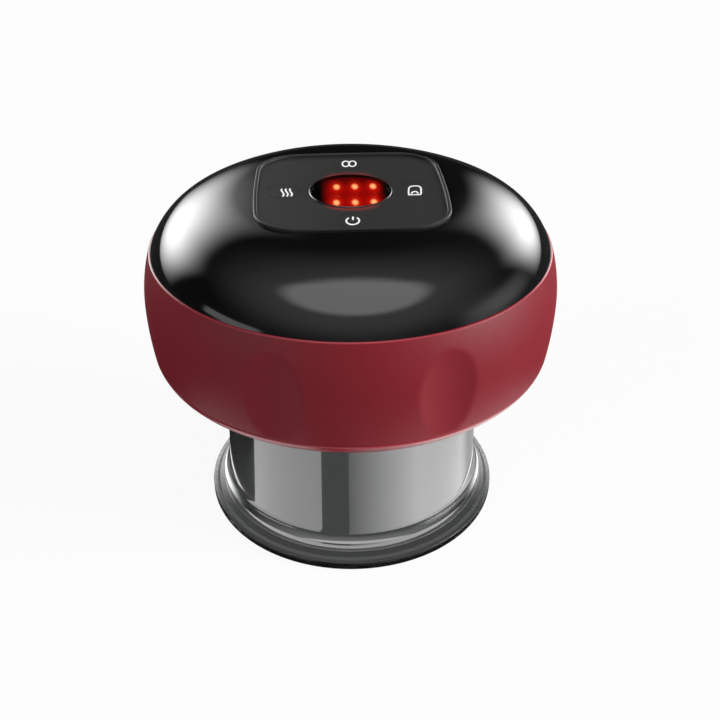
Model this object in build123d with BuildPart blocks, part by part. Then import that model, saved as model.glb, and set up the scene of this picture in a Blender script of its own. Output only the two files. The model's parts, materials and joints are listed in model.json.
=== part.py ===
from build123d import *
import math
import os

os.makedirs("parts", exist_ok=True)

# Electric cupping massager, in millimetres.
# Z is up from the plane of the cup's rim, and -Y is the front, where the power key is.

# Fits and cuts that all pieces share
overrun = 1.0
slip_gap = 0.08
drop_in_gap = 0.2
touch_gap = 0.05
press_gap = 0.01

# Cup
cup_height = 41.6
cup_insertion = 3.2
cup_wall = 2.4
cup_top_radius = 28.6
cup_draft = 1.15
cup_foot_height = 7.5
shoulder_flare = 1.45
shoulder_height = 5.0
shelf_height = 2.9
rim_reach = 3.0
rim_edge_height = 2.0
mouth_flare = 1.4
rim_round = 0.5

# Red body, from its flat underside to the seam with the black dome
body_overhang = 16.4
bowl_depth = 14.9
side_curve = 76.0
bowl_corner = 4.7
inner_corner = 1.0
rim_rise = 11.5
seam_draw = 1.9
red_wall = 2.2
parting_rise = 3.4
parting_groove_depth = 0.4
rim_edge_round = 0.4
lip_thickness = 1.0
lip_rise = 1.5

# Finger scoops
scoop_depth = 1.3
scoop_side_radius = 21.0
scoop_long_radius = 120.0
scoop_reach = 12.0
scoop_height = 51.8
scoop_angle = 22.0

# Black dome
dome_rise = 11.7
dome_step = 0.35
dome_wall = 2.2
dome_crown_shares = (0.561, 0.932)
dome_shoulder_shares = (0.833, 0.664)
skirt_thickness = 1.2
skirt_depth = 2.5

# Key panel and what is under it
panel_reach = 20.4
panel_bulge = 0.8
panel_corner = 9.0
panel_sink = 0.1
rim_height = 0.5
rim_width = 0.8
rim_bevel = 0.2
panel_thickness = 1.8
pocket_floor = 1.2
pocket_wall = 1.6
panel_gap = 0.12
window_radius = 8.9

# Keys and their switches
key_radius = 3.6
key_reach_front = 15.0
key_reach_side = 14.0
key_flange_radius = 4.1
key_travel = 0.3
switch_size = 6.0
switch_height = 3.5
switch_corner = 0.6
switch_headroom = 0.5
plunger_radius = 1.7
plunger_rise = 0.8
plunger_depth = 1.3

# Window and lights
lens_rise = 0.25
lens_round = 0.3
lens_flange = 0.35
lens_flange_thickness = 0.7
baffle_radius = 9.2
well_radius = 1.3
light_pitch = 4.0
light_row = 4.15
light_shift = 0.9
light_length = 1.6
light_width = 1.2
light_height = 0.8

# Control board
board_margin = 13.75
board_thickness = 1.6
board_screw_inset = 2.5
board_boss_radius = 2.6
screw_pilot = 1.0
board_screw_radius = 0.95
board_screw_head = 1.8
board_screw_head_height = 1.1
board_screw_length = 5.0
chip_size = 7.0
chip_height = 1.2
chip_place_share = 0.62
chip_angle = 45.0

# Collar that takes the cup
socket_clearance = 0.2
seat_clearance = 0.3
boss_clearance = 0.3
boss_wall = 3.3
socket_wall = 2.3
collar_floor = 2.0
collar_flange = 2.0
seal_depth = 1.0
seal_height = 1.4
seal_rise = 1.0
ledge_width = 0.9
heater_ring_share = 0.575
heater_ring_wall = 1.0
chamber_share = 0.346
chamber_wall = 0.9
nozzle_radius = 1.3
nozzle_bore = 0.8
nozzle_rise = 5.6
nozzle_foot_radius = 2.4
nozzle_foot = 1.0

# Magnets and the steel ring in the cup's top edge
magnet_count = 6
magnet_radius = 1.3
magnet_height = 1.4
cup_ring_width = 1.4
cup_ring_height = 0.8

# Head that faces into the cup
cover_thickness = 1.2
light_board_thickness = 0.8
red_light_count = 12
red_light_size = 2.4
red_light_height = 0.8
plate_thickness = 0.8
film_thickness = 0.25
film_margin = 1.2
sensor_length = 2.2
sensor_width = 1.6
sensor_height = 1.0
cap_overlap = 1.7
cap_thickness = 0.8
cap_ring_wall = 0.8
cap_ring_rise = 1.0
cap_hole_radius = 0.55
cap_hole_circle_share = 0.55
cap_hole_count = 6
filter_air = 0.4

# Housing posts and screws
post_gap = 1.8
post_radius = 3.0
post_angle = 30.0
post_bore_depth = 12.0
housing_screw_radius = 1.25
housing_screw_head = 2.3
housing_screw_head_height = 1.2
head_recess = 1.4
head_gap = 0.2
housing_screw_length = 12.0

# Inner frame
frame_margin = 2.0
frame_plate = 1.5
cradle_gap = 0.15
cradle_wall = 1.5
cradle_length = 3.0
cradle_rise = 6.0
frame_screw_inset = 1.2
frame_screw_count = 4
frame_screw_radius = 0.85
frame_screw_head = 1.7
frame_screw_head_height = 1.0
frame_screw_length = 4.6
nozzle_hole_gap = 0.8

# Cell
cell_radius = 9.1
cell_length = 49.7
cell_nub_radius = 3.0
cell_nub = 1.2
cell_cradle_reach = 20.0
strap_thickness = 0.6
strap_width = 7.0
cell_strap_x = 12.0

# Vacuum pump
pump_radius = 9.5
pump_start = -27.0
motor_length = 24.0
motor_radius = 8.8
motor_flat = 7.6
motor_wall = 0.6
end_cap_thickness = 2.5
bearing_radius = 3.0
bearing_length = 1.6
shaft_radius = 1.0
shaft_gap = 0.05
magnet_arc_thickness = 1.4
armature_gap = 0.5
armature_length = 13.0
armature_slot = 1.2
armature_slot_count = 3
pump_base_length = 11.0
pump_base_wall = 1.3
eccentric_radius = 3.4
eccentric_length = 3.2
eccentric_web = 0.5
eccentric_offset = 0.8
eccentric_pin_radius = 0.6
eccentric_pin_length = 2.4
swash_thickness = 1.4
swash_hub_radius = 3.2
swash_arm_width = 2.2
swash_reach = 4.6
diaphragm_thickness = 1.2
diaphragm_cup_radius = 2.0
diaphragm_cup_depth = 2.6
diaphragm_cup_wall = 0.5
diaphragm_cup_count = 3
pump_head_length = 7.8
port_shift = 4.3
port_radius = 1.3
port_bore = 0.7
port_length = 4.0
pump_screw_circle = 8.1
pump_screw_radius = 0.6
pump_screw_head = 1.1
pump_screw_head_height = 0.7
pump_screw_count = 4
pump_screw_angle = 45.0
pump_screw_length = 13.0
pump_cradle_x = (-18.0, 4.0)
pump_strap_x = -12.0

# Air line, in a lane between the cell and the pump
hose_y = -1.2
hose_lane = 7.4
hose_radius = 2.2
hose_bore = 1.35
hose_rise = 11.6
tee_half_length = 7.0
tee_drop = 5.0
tee_block = 1.7
hose_grip = 3.2

# Release valve
valve_wall_gap = 3.9
valve_size = 9.0
valve_height = 16.0
valve_wall = 1.0
valve_bore = 2.6
valve_seat_height = 2.4
valve_plunger_radius = 2.5
valve_plunger_length = 8.2
valve_seat_gap = 0.1
spring_coil_radius = 1.7
spring_wire_radius = 0.28
spring_turns = 4
spring_end_gap = 0.1

# Charging inlet, at the back
port_height_in_wall = 10.1
shell_width = 8.94
shell_height = 3.26
shell_length = 7.3
shell_wall = 0.3
shell_sink = 0.4
slot_gap = 0.15
tongue_width = 6.6
tongue_thickness = 0.7
tongue_length = 5.6
shell_back = 1.0
charge_board_width = 16.0
charge_board_length = 12.0
charge_board_thickness = 1.0
charge_shelf_width = 12.0
charge_shelf_length = 6.0

# Heights and places that follow from the sizes above
cup_foot_radius = cup_top_radius + cup_draft
shoulder_radius = cup_foot_radius + shoulder_flare
rim_radius = shoulder_radius + rim_reach
body_radius = cup_top_radius + body_overhang
base_height = cup_height - cup_insertion
widest_height = base_height + bowl_depth
seam_height = widest_height + rim_rise
parting_height = base_height + parting_rise
crown_height = seam_height + dome_rise
seam_radius = body_radius - seam_draw
dome_radius = seam_radius - dome_step
cover_floor_top = base_height + red_wall
flange_top = cover_floor_top + collar_flange
socket_roof = cup_height + seat_clearance
floor_top = socket_roof + collar_floor
frame_top = floor_top + frame_plate
panel_top = crown_height - panel_sink
field_height = panel_top - rim_height
panel_bottom = field_height - panel_thickness
pocket_underside = panel_bottom - pocket_floor
board_top = pocket_underside - switch_headroom - switch_height
board_bottom = board_top - board_thickness
switch_top = board_top + switch_height
plunger_top = switch_top + plunger_rise
cell_z = frame_top + cradle_gap + cell_radius
pump_z = frame_top + cradle_gap + pump_radius
hose_z = frame_top + hose_rise
cell_y = hose_y - hose_lane / 2 - cell_radius
pump_y = hose_y + hose_lane / 2 + pump_radius
port_z = base_height + port_height_in_wall


def cup_outer_at(height):
    # outer radius of the cup's straight wall
    climb = (height - cup_foot_height) / (cup_height - cup_foot_height)
    return cup_foot_radius + (cup_top_radius - cup_foot_radius) * climb


socket_radius = cup_outer_at(base_height) + socket_clearance
socket_outer = socket_radius + socket_wall
boss_radius = cup_top_radius - cup_wall - boss_clearance
boss_inner = boss_radius - boss_wall
heater_ring_radius = boss_inner * heater_ring_share
heater_ring_inner = heater_ring_radius - heater_ring_wall
chamber_radius = heater_ring_radius * chamber_share
chamber_outer = chamber_radius + chamber_wall
cap_radius = chamber_radius + cap_overlap
post_circle = socket_outer + post_gap + post_radius
collar_flange_radius = post_circle + post_radius
frame_radius = post_circle - post_radius - frame_margin
frame_screw_circle = boss_inner + frame_screw_inset
board_radius = dome_radius - board_margin
board_screw_circle = board_radius - board_screw_inset
wall_inner = body_radius - red_wall
valve_reach = wall_inner - valve_wall_gap - valve_size / 2
key_places = {
    "power": (0, -key_reach_front),
    "mode": (0, key_reach_front),
    "heat": (-key_reach_side, 0),
    "suction": (key_reach_side, 0),
}
light_places = [(light_shift + column * light_pitch, row * light_row)
                for column in (-1, 0, 1) for row in (-1, 1)]
post_places = [(post_circle * math.cos(math.radians(angle)), post_circle * math.sin(math.radians(angle)))
               for angle in (90 - post_angle, 90 + post_angle, 270 - post_angle, 270 + post_angle)]


def save(piece, name):
    piece.part.label = name
    export_step(piece.part, f"parts/{name}.step")


def band(inner, outer, low, high):
    # rectangle of a half section, from one radius to another and one height to another
    with Locations(((inner + outer) / 2, (low + high) / 2)):
        Rectangle(outer - inner, high - low)


def side_radius_at(height):
    # outer radius of the red wall below its widest point
    drop = widest_height - height
    return body_radius - side_curve + math.sqrt(side_curve**2 - drop**2)


def red_section(inset, corner):
    # half section of the whole red body, drawn in by the inset all round
    side = body_radius - inset
    base = base_height + inset
    base_radius = side_radius_at(base) - inset
    with BuildSketch(Plane.XZ) as section:
        with BuildLine():
            Line((0, base), (base_radius, base))
            TangentArc((side, widest_height), (base_radius, base), tangent=(0, -1))
            TangentArc((side, widest_height), (seam_radius - inset, seam_height), tangent=(0, 1))
            Line((seam_radius - inset, seam_height), (0, seam_height))
            Line((0, seam_height), (0, base))
        make_face()
        fillet(section.vertices().sort_by_distance((base_radius, base, 0))[0], radius=corner)
        rim_corner = section.vertices().sort_by_distance((seam_radius - inset, seam_height, 0))[0]
        fillet(rim_corner, radius=rim_edge_round)
    return section.sketch


def parting_groove():
    # square standing on its corner, to cut the V groove where side wall and underside part
    with BuildSketch(Plane.XZ) as groove:
        with Locations((side_radius_at(parting_height), parting_height)):
            RegularPolygon(radius=parting_groove_depth, side_count=4)
    return groove.sketch


def dome_section(inset):
    # half section of the black dome, drawn in by the inset
    edge = dome_radius - inset
    rise = dome_rise - inset
    crown_end = (edge * dome_crown_shares[0], seam_height + rise * dome_crown_shares[1])
    shoulder_start = (edge * dome_shoulder_shares[0], seam_height + rise * dome_shoulder_shares[1])
    with BuildSketch(Plane.XZ) as section:
        with BuildLine():
            crown = TangentArc((0, seam_height + rise), crown_end, tangent=(1, 0))
            flank = TangentArc(crown_end, shoulder_start, tangent=crown % 1)
            TangentArc(shoulder_start, (edge, seam_height), tangent=flank % 1)
            Line((0, seam_height + rise), (0, seam_height))
            Line((0, seam_height), (edge, seam_height))
        make_face()
    return section.sketch


def panel_outline(grow, height):
    # rounded square with slightly bulging sides, grown outwards all round
    reach = panel_reach + grow
    square = reach - panel_bulge
    with BuildSketch(Plane.XY.offset(height)) as outline:
        with BuildLine():
            for turn in range(4):
                angle = 90 * turn
                start = Vector(square, -square).rotate(Axis.Z, angle)
                middle = Vector(reach, 0).rotate(Axis.Z, angle)
                end = Vector(square, square).rotate(Axis.Z, angle)
                ThreePointArc(start, middle, end)
        make_face()
        fillet(outline.vertices(), radius=panel_corner + grow)
    return outline.sketch


def ring_edge(piece, height, radius):
    # the round edge nearest to a height and a radius
    circles = piece.edges().filter_by(GeomType.CIRCLE)
    return circles.sort_by(lambda edge: abs(edge.center().Z - height) + abs(edge.radius - radius))[0]


# Cup

cup_inner_top = cup_top_radius - cup_wall
cup_inner_foot = cup_foot_radius - cup_wall
mouth_radius = cup_inner_foot + mouth_flare
cup_ring_middle = cup_top_radius - cup_wall / 2
cup_ring_inner = cup_ring_middle - cup_ring_width / 2
cup_ring_outer = cup_ring_middle + cup_ring_width / 2

with BuildPart() as cup:
    with BuildSketch(Plane.XZ) as cup_section:
        with BuildLine():
            wall_line = Line((cup_top_radius, cup_height), (cup_foot_radius, cup_foot_height))
            TangentArc(wall_line @ 1, (shoulder_radius, shoulder_height), tangent=wall_line % 1)
            Line((shoulder_radius, shoulder_height), (shoulder_radius, shelf_height))
            Line((shoulder_radius, shelf_height), (rim_radius, rim_edge_height))
            Line((rim_radius, rim_edge_height), (rim_radius, 0))
            Line((rim_radius, 0), (mouth_radius, 0))
            inner_line = Line((cup_inner_top, cup_height), (cup_inner_foot, cup_foot_height))
            TangentArc(inner_line @ 1, (mouth_radius, 0), tangent=inner_line % 1)
            Line((cup_inner_top, cup_height), (cup_top_radius, cup_height))
        make_face()
        for corner_place in ((rim_radius, rim_edge_height), (rim_radius, 0), (mouth_radius, 0)):
            fillet(cup_section.vertices().sort_by_distance((*corner_place, 0))[0], radius=rim_round)
    revolve(axis=Axis.Z)
    with BuildSketch(Plane.XZ):
        band(cup_ring_inner - touch_gap, cup_ring_outer + touch_gap,
             cup_height - cup_ring_height, cup_height + overrun)
    revolve(axis=Axis.Z, mode=Mode.SUBTRACT)
save(cup, "cup")

with BuildPart() as cup_ring:
    with BuildSketch(Plane.XZ):
        band(cup_ring_inner, cup_ring_outer, cup_height - cup_ring_height, cup_height)
    revolve(axis=Axis.Z)
save(cup_ring, "cup_ring")


# Red side wall, open at the top and at the bottom

shelf_top = port_z - shell_height / 2 - charge_board_thickness
scoop_angles = (270 - scoop_angle, 270 + scoop_angle, 90 - scoop_angle, 90 + scoop_angle)
scoop_axis = body_radius - scoop_depth + scoop_side_radius
scoop_ends = scoop_side_radius - scoop_long_radius + math.sqrt(scoop_long_radius**2 - scoop_reach**2)

with BuildPart() as scoop_core:
    with BuildSketch(Plane.XZ):
        with BuildLine():
            ThreePointArc((scoop_ends, scoop_height - scoop_reach), (scoop_side_radius, scoop_height),
                          (scoop_ends, scoop_height + scoop_reach))
            Polyline((scoop_ends, scoop_height + scoop_reach), (0, scoop_height + scoop_reach),
                     (0, scoop_height - scoop_reach), (scoop_ends, scoop_height - scoop_reach))
        make_face()
    revolve(axis=Axis.Z)

with BuildPart() as lower_housing:
    add(red_section(0, bowl_corner))
    revolve(axis=Axis.Z)
    for angle in scoop_angles:
        with Locations(Location((scoop_axis * math.cos(math.radians(angle)),
                                 scoop_axis * math.sin(math.radians(angle)), 0))):
            add(scoop_core.part, mode=Mode.SUBTRACT)
    add(red_section(red_wall, inner_corner))
    revolve(axis=Axis.Z, mode=Mode.SUBTRACT)
    split(bisect_by=Plane.XY.offset(parting_height), keep=Keep.TOP)
    with BuildSketch(Plane.XY.offset(seam_height)):
        Circle(seam_radius - red_wall)
    extrude(amount=-red_wall - overrun, mode=Mode.SUBTRACT)
    add(parting_groove())
    revolve(axis=Axis.Z, mode=Mode.SUBTRACT)
    with BuildSketch(Plane.XZ.offset(-wall_inner + charge_shelf_length)):
        with Locations((0, (shelf_top + frame_top) / 2)):
            Rectangle(charge_shelf_width, shelf_top - frame_top)
    extrude(amount=-charge_shelf_length - red_wall / 2)
    with BuildSketch(Plane.XZ.offset(-wall_inner + shell_length)):
        with Locations((0, port_z)):
            SlotOverall(shell_width + 2 * slot_gap, shell_height + 2 * slot_gap)
    extrude(amount=-shell_length - red_wall - overrun, mode=Mode.SUBTRACT)
save(lower_housing, "lower_housing")


# Red underside, with the screw heads let into it

lip_outer = side_radius_at(parting_height) - red_wall - touch_gap

with BuildPart() as bottom_cover:
    add(red_section(0, bowl_corner))
    revolve(axis=Axis.Z)
    add(red_section(red_wall, inner_corner))
    revolve(axis=Axis.Z, mode=Mode.SUBTRACT)
    split(bisect_by=Plane.XY.offset(parting_height), keep=Keep.BOTTOM)
    add(parting_groove())
    revolve(axis=Axis.Z, mode=Mode.SUBTRACT)
    with BuildSketch(Plane.XZ):
        band(lip_outer - lip_thickness, lip_outer, cover_floor_top - red_wall / 2, parting_height + lip_rise)
    revolve(axis=Axis.Z)
    with BuildSketch(Plane.XY.offset(base_height - overrun)):
        Circle(socket_outer + drop_in_gap)
    extrude(amount=red_wall + 2 * overrun, mode=Mode.SUBTRACT)
    with BuildSketch(Plane.XY.offset(base_height)):
        with Locations(*post_places):
            Circle(housing_screw_head + head_gap)
    extrude(amount=head_recess, mode=Mode.SUBTRACT)
    with BuildSketch(Plane.XY.offset(base_height)):
        with Locations(*post_places):
            Circle(housing_screw_radius + head_gap)
    extrude(amount=red_wall + overrun, mode=Mode.SUBTRACT)
save(bottom_cover, "bottom_cover")


# Black dome with its pocket, posts and board bosses

boss_places = [(x * board_screw_circle * math.sqrt(2) / 2, y * board_screw_circle * math.sqrt(2) / 2)
               for x in (-1, 1) for y in (-1, 1)]
skirt_outer = seam_radius - red_wall - drop_in_gap

with BuildPart() as dome_cavity:
    add(dome_section(dome_wall))
    revolve(axis=Axis.Z)
    add(panel_outline(pocket_wall, pocket_underside))
    extrude(amount=pocket_floor + panel_thickness, mode=Mode.SUBTRACT)
    with BuildSketch(Plane.XY.offset(seam_height)):
        with Locations(*post_places):
            Circle(post_radius)
    extrude(amount=dome_rise, mode=Mode.SUBTRACT)
    with BuildSketch(Plane.XY.offset(board_top)):
        with Locations(*boss_places):
            Circle(board_boss_radius)
    extrude(amount=dome_rise, mode=Mode.SUBTRACT)

with BuildPart() as top_cover:
    add(dome_section(0))
    revolve(axis=Axis.Z)
    add(dome_cavity.part, mode=Mode.SUBTRACT)
    add(panel_outline(panel_gap, panel_bottom))
    extrude(amount=dome_rise, mode=Mode.SUBTRACT)
    with BuildSketch(Plane.XZ):
        band(skirt_outer - skirt_thickness, skirt_outer, seam_height - skirt_depth, seam_height + skirt_depth / 2)
    revolve(axis=Axis.Z)
    with BuildSketch(Plane.XY.offset(flange_top)):
        with Locations(*post_places):
            Circle(post_radius)
    extrude(amount=seam_height - flange_top + overrun)
    with BuildSketch(Plane.XY.offset(flange_top)):
        with Locations(*post_places):
            Circle(housing_screw_radius + touch_gap)
    extrude(amount=post_bore_depth, mode=Mode.SUBTRACT)
    with BuildSketch(Plane.XY.offset(board_top)):
        with Locations(*boss_places):
            Circle(screw_pilot)
    extrude(amount=board_screw_length, mode=Mode.SUBTRACT)
    with BuildSketch(Plane.XY.offset(pocket_underside)):
        with Locations(*key_places.values()):
            Circle(key_flange_radius + drop_in_gap)
        Circle(window_radius + lens_flange + drop_in_gap)
    extrude(amount=pocket_floor + overrun, mode=Mode.SUBTRACT)
save(top_cover, "top_cover")


# Key panel: a shallow tray with a raised rim

with BuildPart() as key_panel:
    add(panel_outline(0, panel_bottom))
    extrude(amount=panel_thickness + rim_height)
    add(panel_outline(-rim_width, field_height))
    extrude(amount=rim_height + overrun, mode=Mode.SUBTRACT)
    fillet(key_panel.edges().group_by(Axis.Z)[-1], radius=rim_bevel)
    with BuildSketch(Plane.XY.offset(panel_bottom)):
        with Locations(*key_places.values()):
            Circle(key_radius)
        Circle(window_radius)
    extrude(amount=panel_thickness + overrun, mode=Mode.SUBTRACT)
save(key_panel, "key_panel")


# Keys, each with the plunger that it presses

for key_name, key_place in key_places.items():
    with BuildPart() as key:
        with BuildSketch(Plane.XY.offset(plunger_top)):
            with Locations(key_place):
                Circle(key_flange_radius)
        extrude(amount=panel_bottom - touch_gap - plunger_top)
        with BuildSketch(Plane.XY.offset(plunger_top)):
            with Locations(key_place):
                Circle(key_radius - slip_gap)
        extrude(amount=field_height - plunger_top)
    save(key, f"{key_name}_key")

    with BuildPart() as plunger:
        with BuildSketch(Plane.XY.offset(switch_top - plunger_depth)):
            with Locations(key_place):
                Circle(plunger_radius)
        extrude(amount=plunger_depth + plunger_rise)
    save(plunger, f"{key_name}_plunger")

with BuildPart() as switch_bodies:
    with BuildSketch(Plane.XY.offset(board_top)):
        with Locations(*key_places.values()):
            Rectangle(switch_size, switch_size)
    extrude(amount=switch_height)
    fillet(switch_bodies.edges().filter_by(Axis.Z), radius=switch_corner)
    with BuildSketch(Plane.XY.offset(switch_top - plunger_depth - key_travel - touch_gap)):
        with Locations(*key_places.values()):
            Circle(plunger_radius + slip_gap)
    extrude(amount=plunger_depth + key_travel + overrun, mode=Mode.SUBTRACT)
save(switch_bodies, "switch_bodies")


# Window, lights and the block that keeps their light apart

lens_top = field_height + lens_rise
lens_underside = panel_bottom - touch_gap - lens_flange_thickness

with BuildPart() as display_lens:
    with BuildSketch(Plane.XY.offset(lens_underside)):
        Circle(window_radius - drop_in_gap / 2)
    extrude(amount=lens_top - lens_underside)
    fillet(display_lens.edges().group_by(Axis.Z)[-1], radius=lens_round)
    with BuildSketch(Plane.XY.offset(lens_underside)):
        Circle(window_radius + lens_flange)
    extrude(amount=lens_flange_thickness)
save(display_lens, "display_lens")

with BuildPart() as light_baffle:
    with BuildSketch(Plane.XY.offset(board_top)):
        Circle(baffle_radius)
        with Locations(*light_places):
            Circle(well_radius, mode=Mode.SUBTRACT)
    extrude(amount=lens_underside - board_top)
save(light_baffle, "light_baffle")

with BuildPart() as light_guides:
    with BuildSketch(Plane.XY.offset(board_top + light_height + touch_gap)):
        with Locations(*light_places):
            Circle(well_radius - touch_gap)
    extrude(amount=lens_underside - board_top - light_height - touch_gap)
save(light_guides, "light_guides")

with BuildPart() as indicator_leds:
    with BuildSketch(Plane.XY.offset(board_top)):
        with Locations(*light_places):
            Rectangle(light_length, light_width)
    extrude(amount=light_height)
save(indicator_leds, "indicator_leds")


# Control board, hung from the dome by four screws

with BuildPart() as control_board:
    with BuildSketch(Plane.XY.offset(board_bottom)):
        Circle(board_radius)
        with Locations(*boss_places):
            Circle(board_screw_radius + head_gap, mode=Mode.SUBTRACT)
    extrude(amount=board_thickness)
save(control_board, "control_board")

with BuildPart() as board_screws:
    with BuildSketch(Plane.XY.offset(board_bottom - board_screw_head_height)):
        with Locations(*boss_places):
            Circle(board_screw_head)
    extrude(amount=board_screw_head_height)
    with BuildSketch(Plane.XY.offset(board_bottom)):
        with Locations(*boss_places):
            Circle(board_screw_radius)
    extrude(amount=board_screw_length)
save(board_screws, "board_screws")

with BuildPart() as controller_chip:
    with BuildSketch(Plane.XY.offset(board_top)):
        with PolarLocations(board_radius * chip_place_share, 1, chip_angle):
            Rectangle(chip_size, chip_size)
    extrude(amount=chip_height)
save(controller_chip, "controller_chip")


# Collar: the socket for the cup, closed above by its floor

cover_top = base_height + cover_thickness
plate_top = base_height + plate_thickness
magnet_circle = (boss_radius + socket_radius) / 2
seal_low = base_height + seal_rise
nozzle_top = floor_top + nozzle_rise

with BuildPart() as cup_collar:
    with BuildSketch(Plane.XZ):
        band(0, socket_outer, socket_roof, floor_top)
        band(socket_radius, collar_flange_radius, cover_floor_top, flange_top)
        band(socket_radius, socket_outer, base_height, floor_top)
        band(boss_inner, boss_radius, base_height, floor_top)
        band(boss_inner - ledge_width, boss_radius, cover_top, floor_top)
        band(heater_ring_inner, heater_ring_radius, base_height, floor_top)
        band(heater_ring_inner, heater_ring_radius + ledge_width, cover_top, floor_top)
        band(heater_ring_inner - ledge_width, heater_ring_radius, plate_top, floor_top)
        band(chamber_radius, chamber_outer, base_height, floor_top)
        with Locations((boss_radius - seal_depth / 2, seal_low + seal_height / 2)):
            Rectangle(seal_depth, seal_height, mode=Mode.SUBTRACT)
    revolve(axis=Axis.Z)
    with BuildSketch(Plane.XY.offset(socket_roof)):
        with PolarLocations(magnet_circle, magnet_count):
            Circle(magnet_radius + touch_gap)
    extrude(amount=magnet_height, mode=Mode.SUBTRACT)
    with BuildSketch(Plane.XY.offset(floor_top)):
        with Locations((0, hose_y)):
            Circle(nozzle_foot_radius)
    extrude(amount=nozzle_foot)
    with BuildSketch(Plane.XY.offset(floor_top)):
        with Locations((0, hose_y)):
            Circle(nozzle_radius)
    extrude(amount=nozzle_rise)
    with BuildSketch(Plane.XY.offset(socket_roof)):
        with Locations((0, hose_y)):
            Circle(nozzle_bore)
    extrude(amount=nozzle_top - socket_roof + overrun, mode=Mode.SUBTRACT)
    with BuildSketch(Plane.XY.offset(cover_floor_top)):
        with Locations(*post_places):
            Circle(housing_screw_radius + head_gap)
    extrude(amount=collar_flange + overrun, mode=Mode.SUBTRACT)
    with BuildSketch(Plane.XY.offset(floor_top)):
        with PolarLocations(frame_screw_circle, frame_screw_count):
            Circle(frame_screw_radius + touch_gap)
    extrude(amount=frame_plate - frame_screw_length, mode=Mode.SUBTRACT)
save(cup_collar, "cup_collar")

with BuildPart() as collar_magnets:
    with BuildSketch(Plane.XY.offset(socket_roof)):
        with PolarLocations(magnet_circle, magnet_count):
            Circle(magnet_radius)
    extrude(amount=magnet_height)
save(collar_magnets, "collar_magnets")

with BuildPart() as cup_seal:
    with BuildSketch(Plane.XZ) as seal_section:
        band(boss_radius - seal_depth, cup_inner_top - touch_gap, seal_low, seal_low + seal_height)
        seal_edge = seal_section.vertices().group_by(Axis.X)[-1]
        fillet(seal_edge, radius=seal_height / 4)
    revolve(axis=Axis.Z)
save(cup_seal, "cup_seal")


# Head inside the collar: light ring, warm plate and filter

with BuildPart() as light_cover:
    with BuildSketch(Plane.XZ):
        band(heater_ring_radius + touch_gap, boss_inner - touch_gap, base_height, cover_top)
    revolve(axis=Axis.Z)
save(light_cover, "light_cover")

light_board_inner = heater_ring_radius + ledge_width + touch_gap
light_board_outer = boss_inner - ledge_width - touch_gap
light_board_bottom = socket_roof - light_board_thickness

with BuildPart() as light_board:
    with BuildSketch(Plane.XZ):
        band(light_board_inner, light_board_outer, light_board_bottom, socket_roof)
    revolve(axis=Axis.Z)
save(light_board, "light_board")

with BuildPart() as red_leds:
    with BuildSketch(Plane.XY.offset(light_board_bottom)):
        with PolarLocations((light_board_inner + light_board_outer) / 2, red_light_count):
            Rectangle(red_light_size, red_light_size)
    extrude(amount=-red_light_height)
save(red_leds, "red_leds")

with BuildPart() as heater_plate:
    with BuildSketch(Plane.XZ):
        band(chamber_outer + touch_gap, heater_ring_inner - touch_gap, base_height, plate_top)
    revolve(axis=Axis.Z)
save(heater_plate, "heater_plate")

film_inner = chamber_outer + film_margin
film_outer = heater_ring_inner - ledge_width - film_margin / 2
film_top = plate_top + film_thickness

with BuildPart() as heater_film:
    with BuildSketch(Plane.XZ):
        band(film_inner, film_outer, plate_top, film_top)
    revolve(axis=Axis.Z)
save(heater_film, "heater_film")

with BuildPart() as temperature_sensor:
    with BuildSketch(Plane.XY.offset(film_top)):
        with Locations(((film_inner + film_outer) / 2, 0)):
            Rectangle(sensor_length, sensor_width)
    extrude(amount=sensor_height)
    fillet(temperature_sensor.edges().filter_by(Axis.Z), radius=sensor_width / 4)
save(temperature_sensor, "temperature_sensor")

cap_ring_outer = chamber_radius - touch_gap
cap_ring_top = base_height + cap_ring_rise

with BuildPart() as filter_cap:
    with BuildSketch(Plane.XY.offset(base_height - cap_thickness)):
        Circle(cap_radius)
    extrude(amount=cap_thickness)
    chamfer(ring_edge(filter_cap, base_height - cap_thickness, cap_radius), length=cap_thickness / 2)
    with BuildSketch(Plane.XZ):
        band(cap_ring_outer - cap_ring_wall, cap_ring_outer, base_height - cap_thickness / 2, cap_ring_top)
    revolve(axis=Axis.Z)
    with BuildSketch(Plane.XY.offset(base_height - cap_thickness)):
        Circle(cap_hole_radius)
        with PolarLocations(chamber_radius * cap_hole_circle_share, cap_hole_count):
            Circle(cap_hole_radius)
    extrude(amount=cap_thickness, mode=Mode.SUBTRACT)
save(filter_cap, "filter_cap")

with BuildPart() as air_filter:
    with BuildSketch(Plane.XY.offset(cap_ring_top)):
        Circle(chamber_radius - touch_gap)
    extrude(amount=socket_roof - filter_air - cap_ring_top)
save(air_filter, "air_filter")


# Housing screws, up through the cover and the collar into the posts

with BuildPart() as housing_screws:
    with BuildSketch(Plane.XY.offset(base_height + head_recess)):
        with Locations(*post_places):
            Circle(housing_screw_head)
    extrude(amount=-housing_screw_head_height)
    with BuildSketch(Plane.XY.offset(base_height + head_recess)):
        with Locations(*post_places):
            Circle(housing_screw_radius)
    extrude(amount=housing_screw_length)
save(housing_screws, "housing_screws")


# Inner frame: a plate with cradles for the cell and the pump and an arm for the valve

cell_cradle_width = 2 * (cell_radius + cradle_wall)
pump_cradle_width = 2 * (pump_radius + cradle_wall)
valve_x = -valve_reach
valve_arm_end = valve_reach + valve_size / 2

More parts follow.
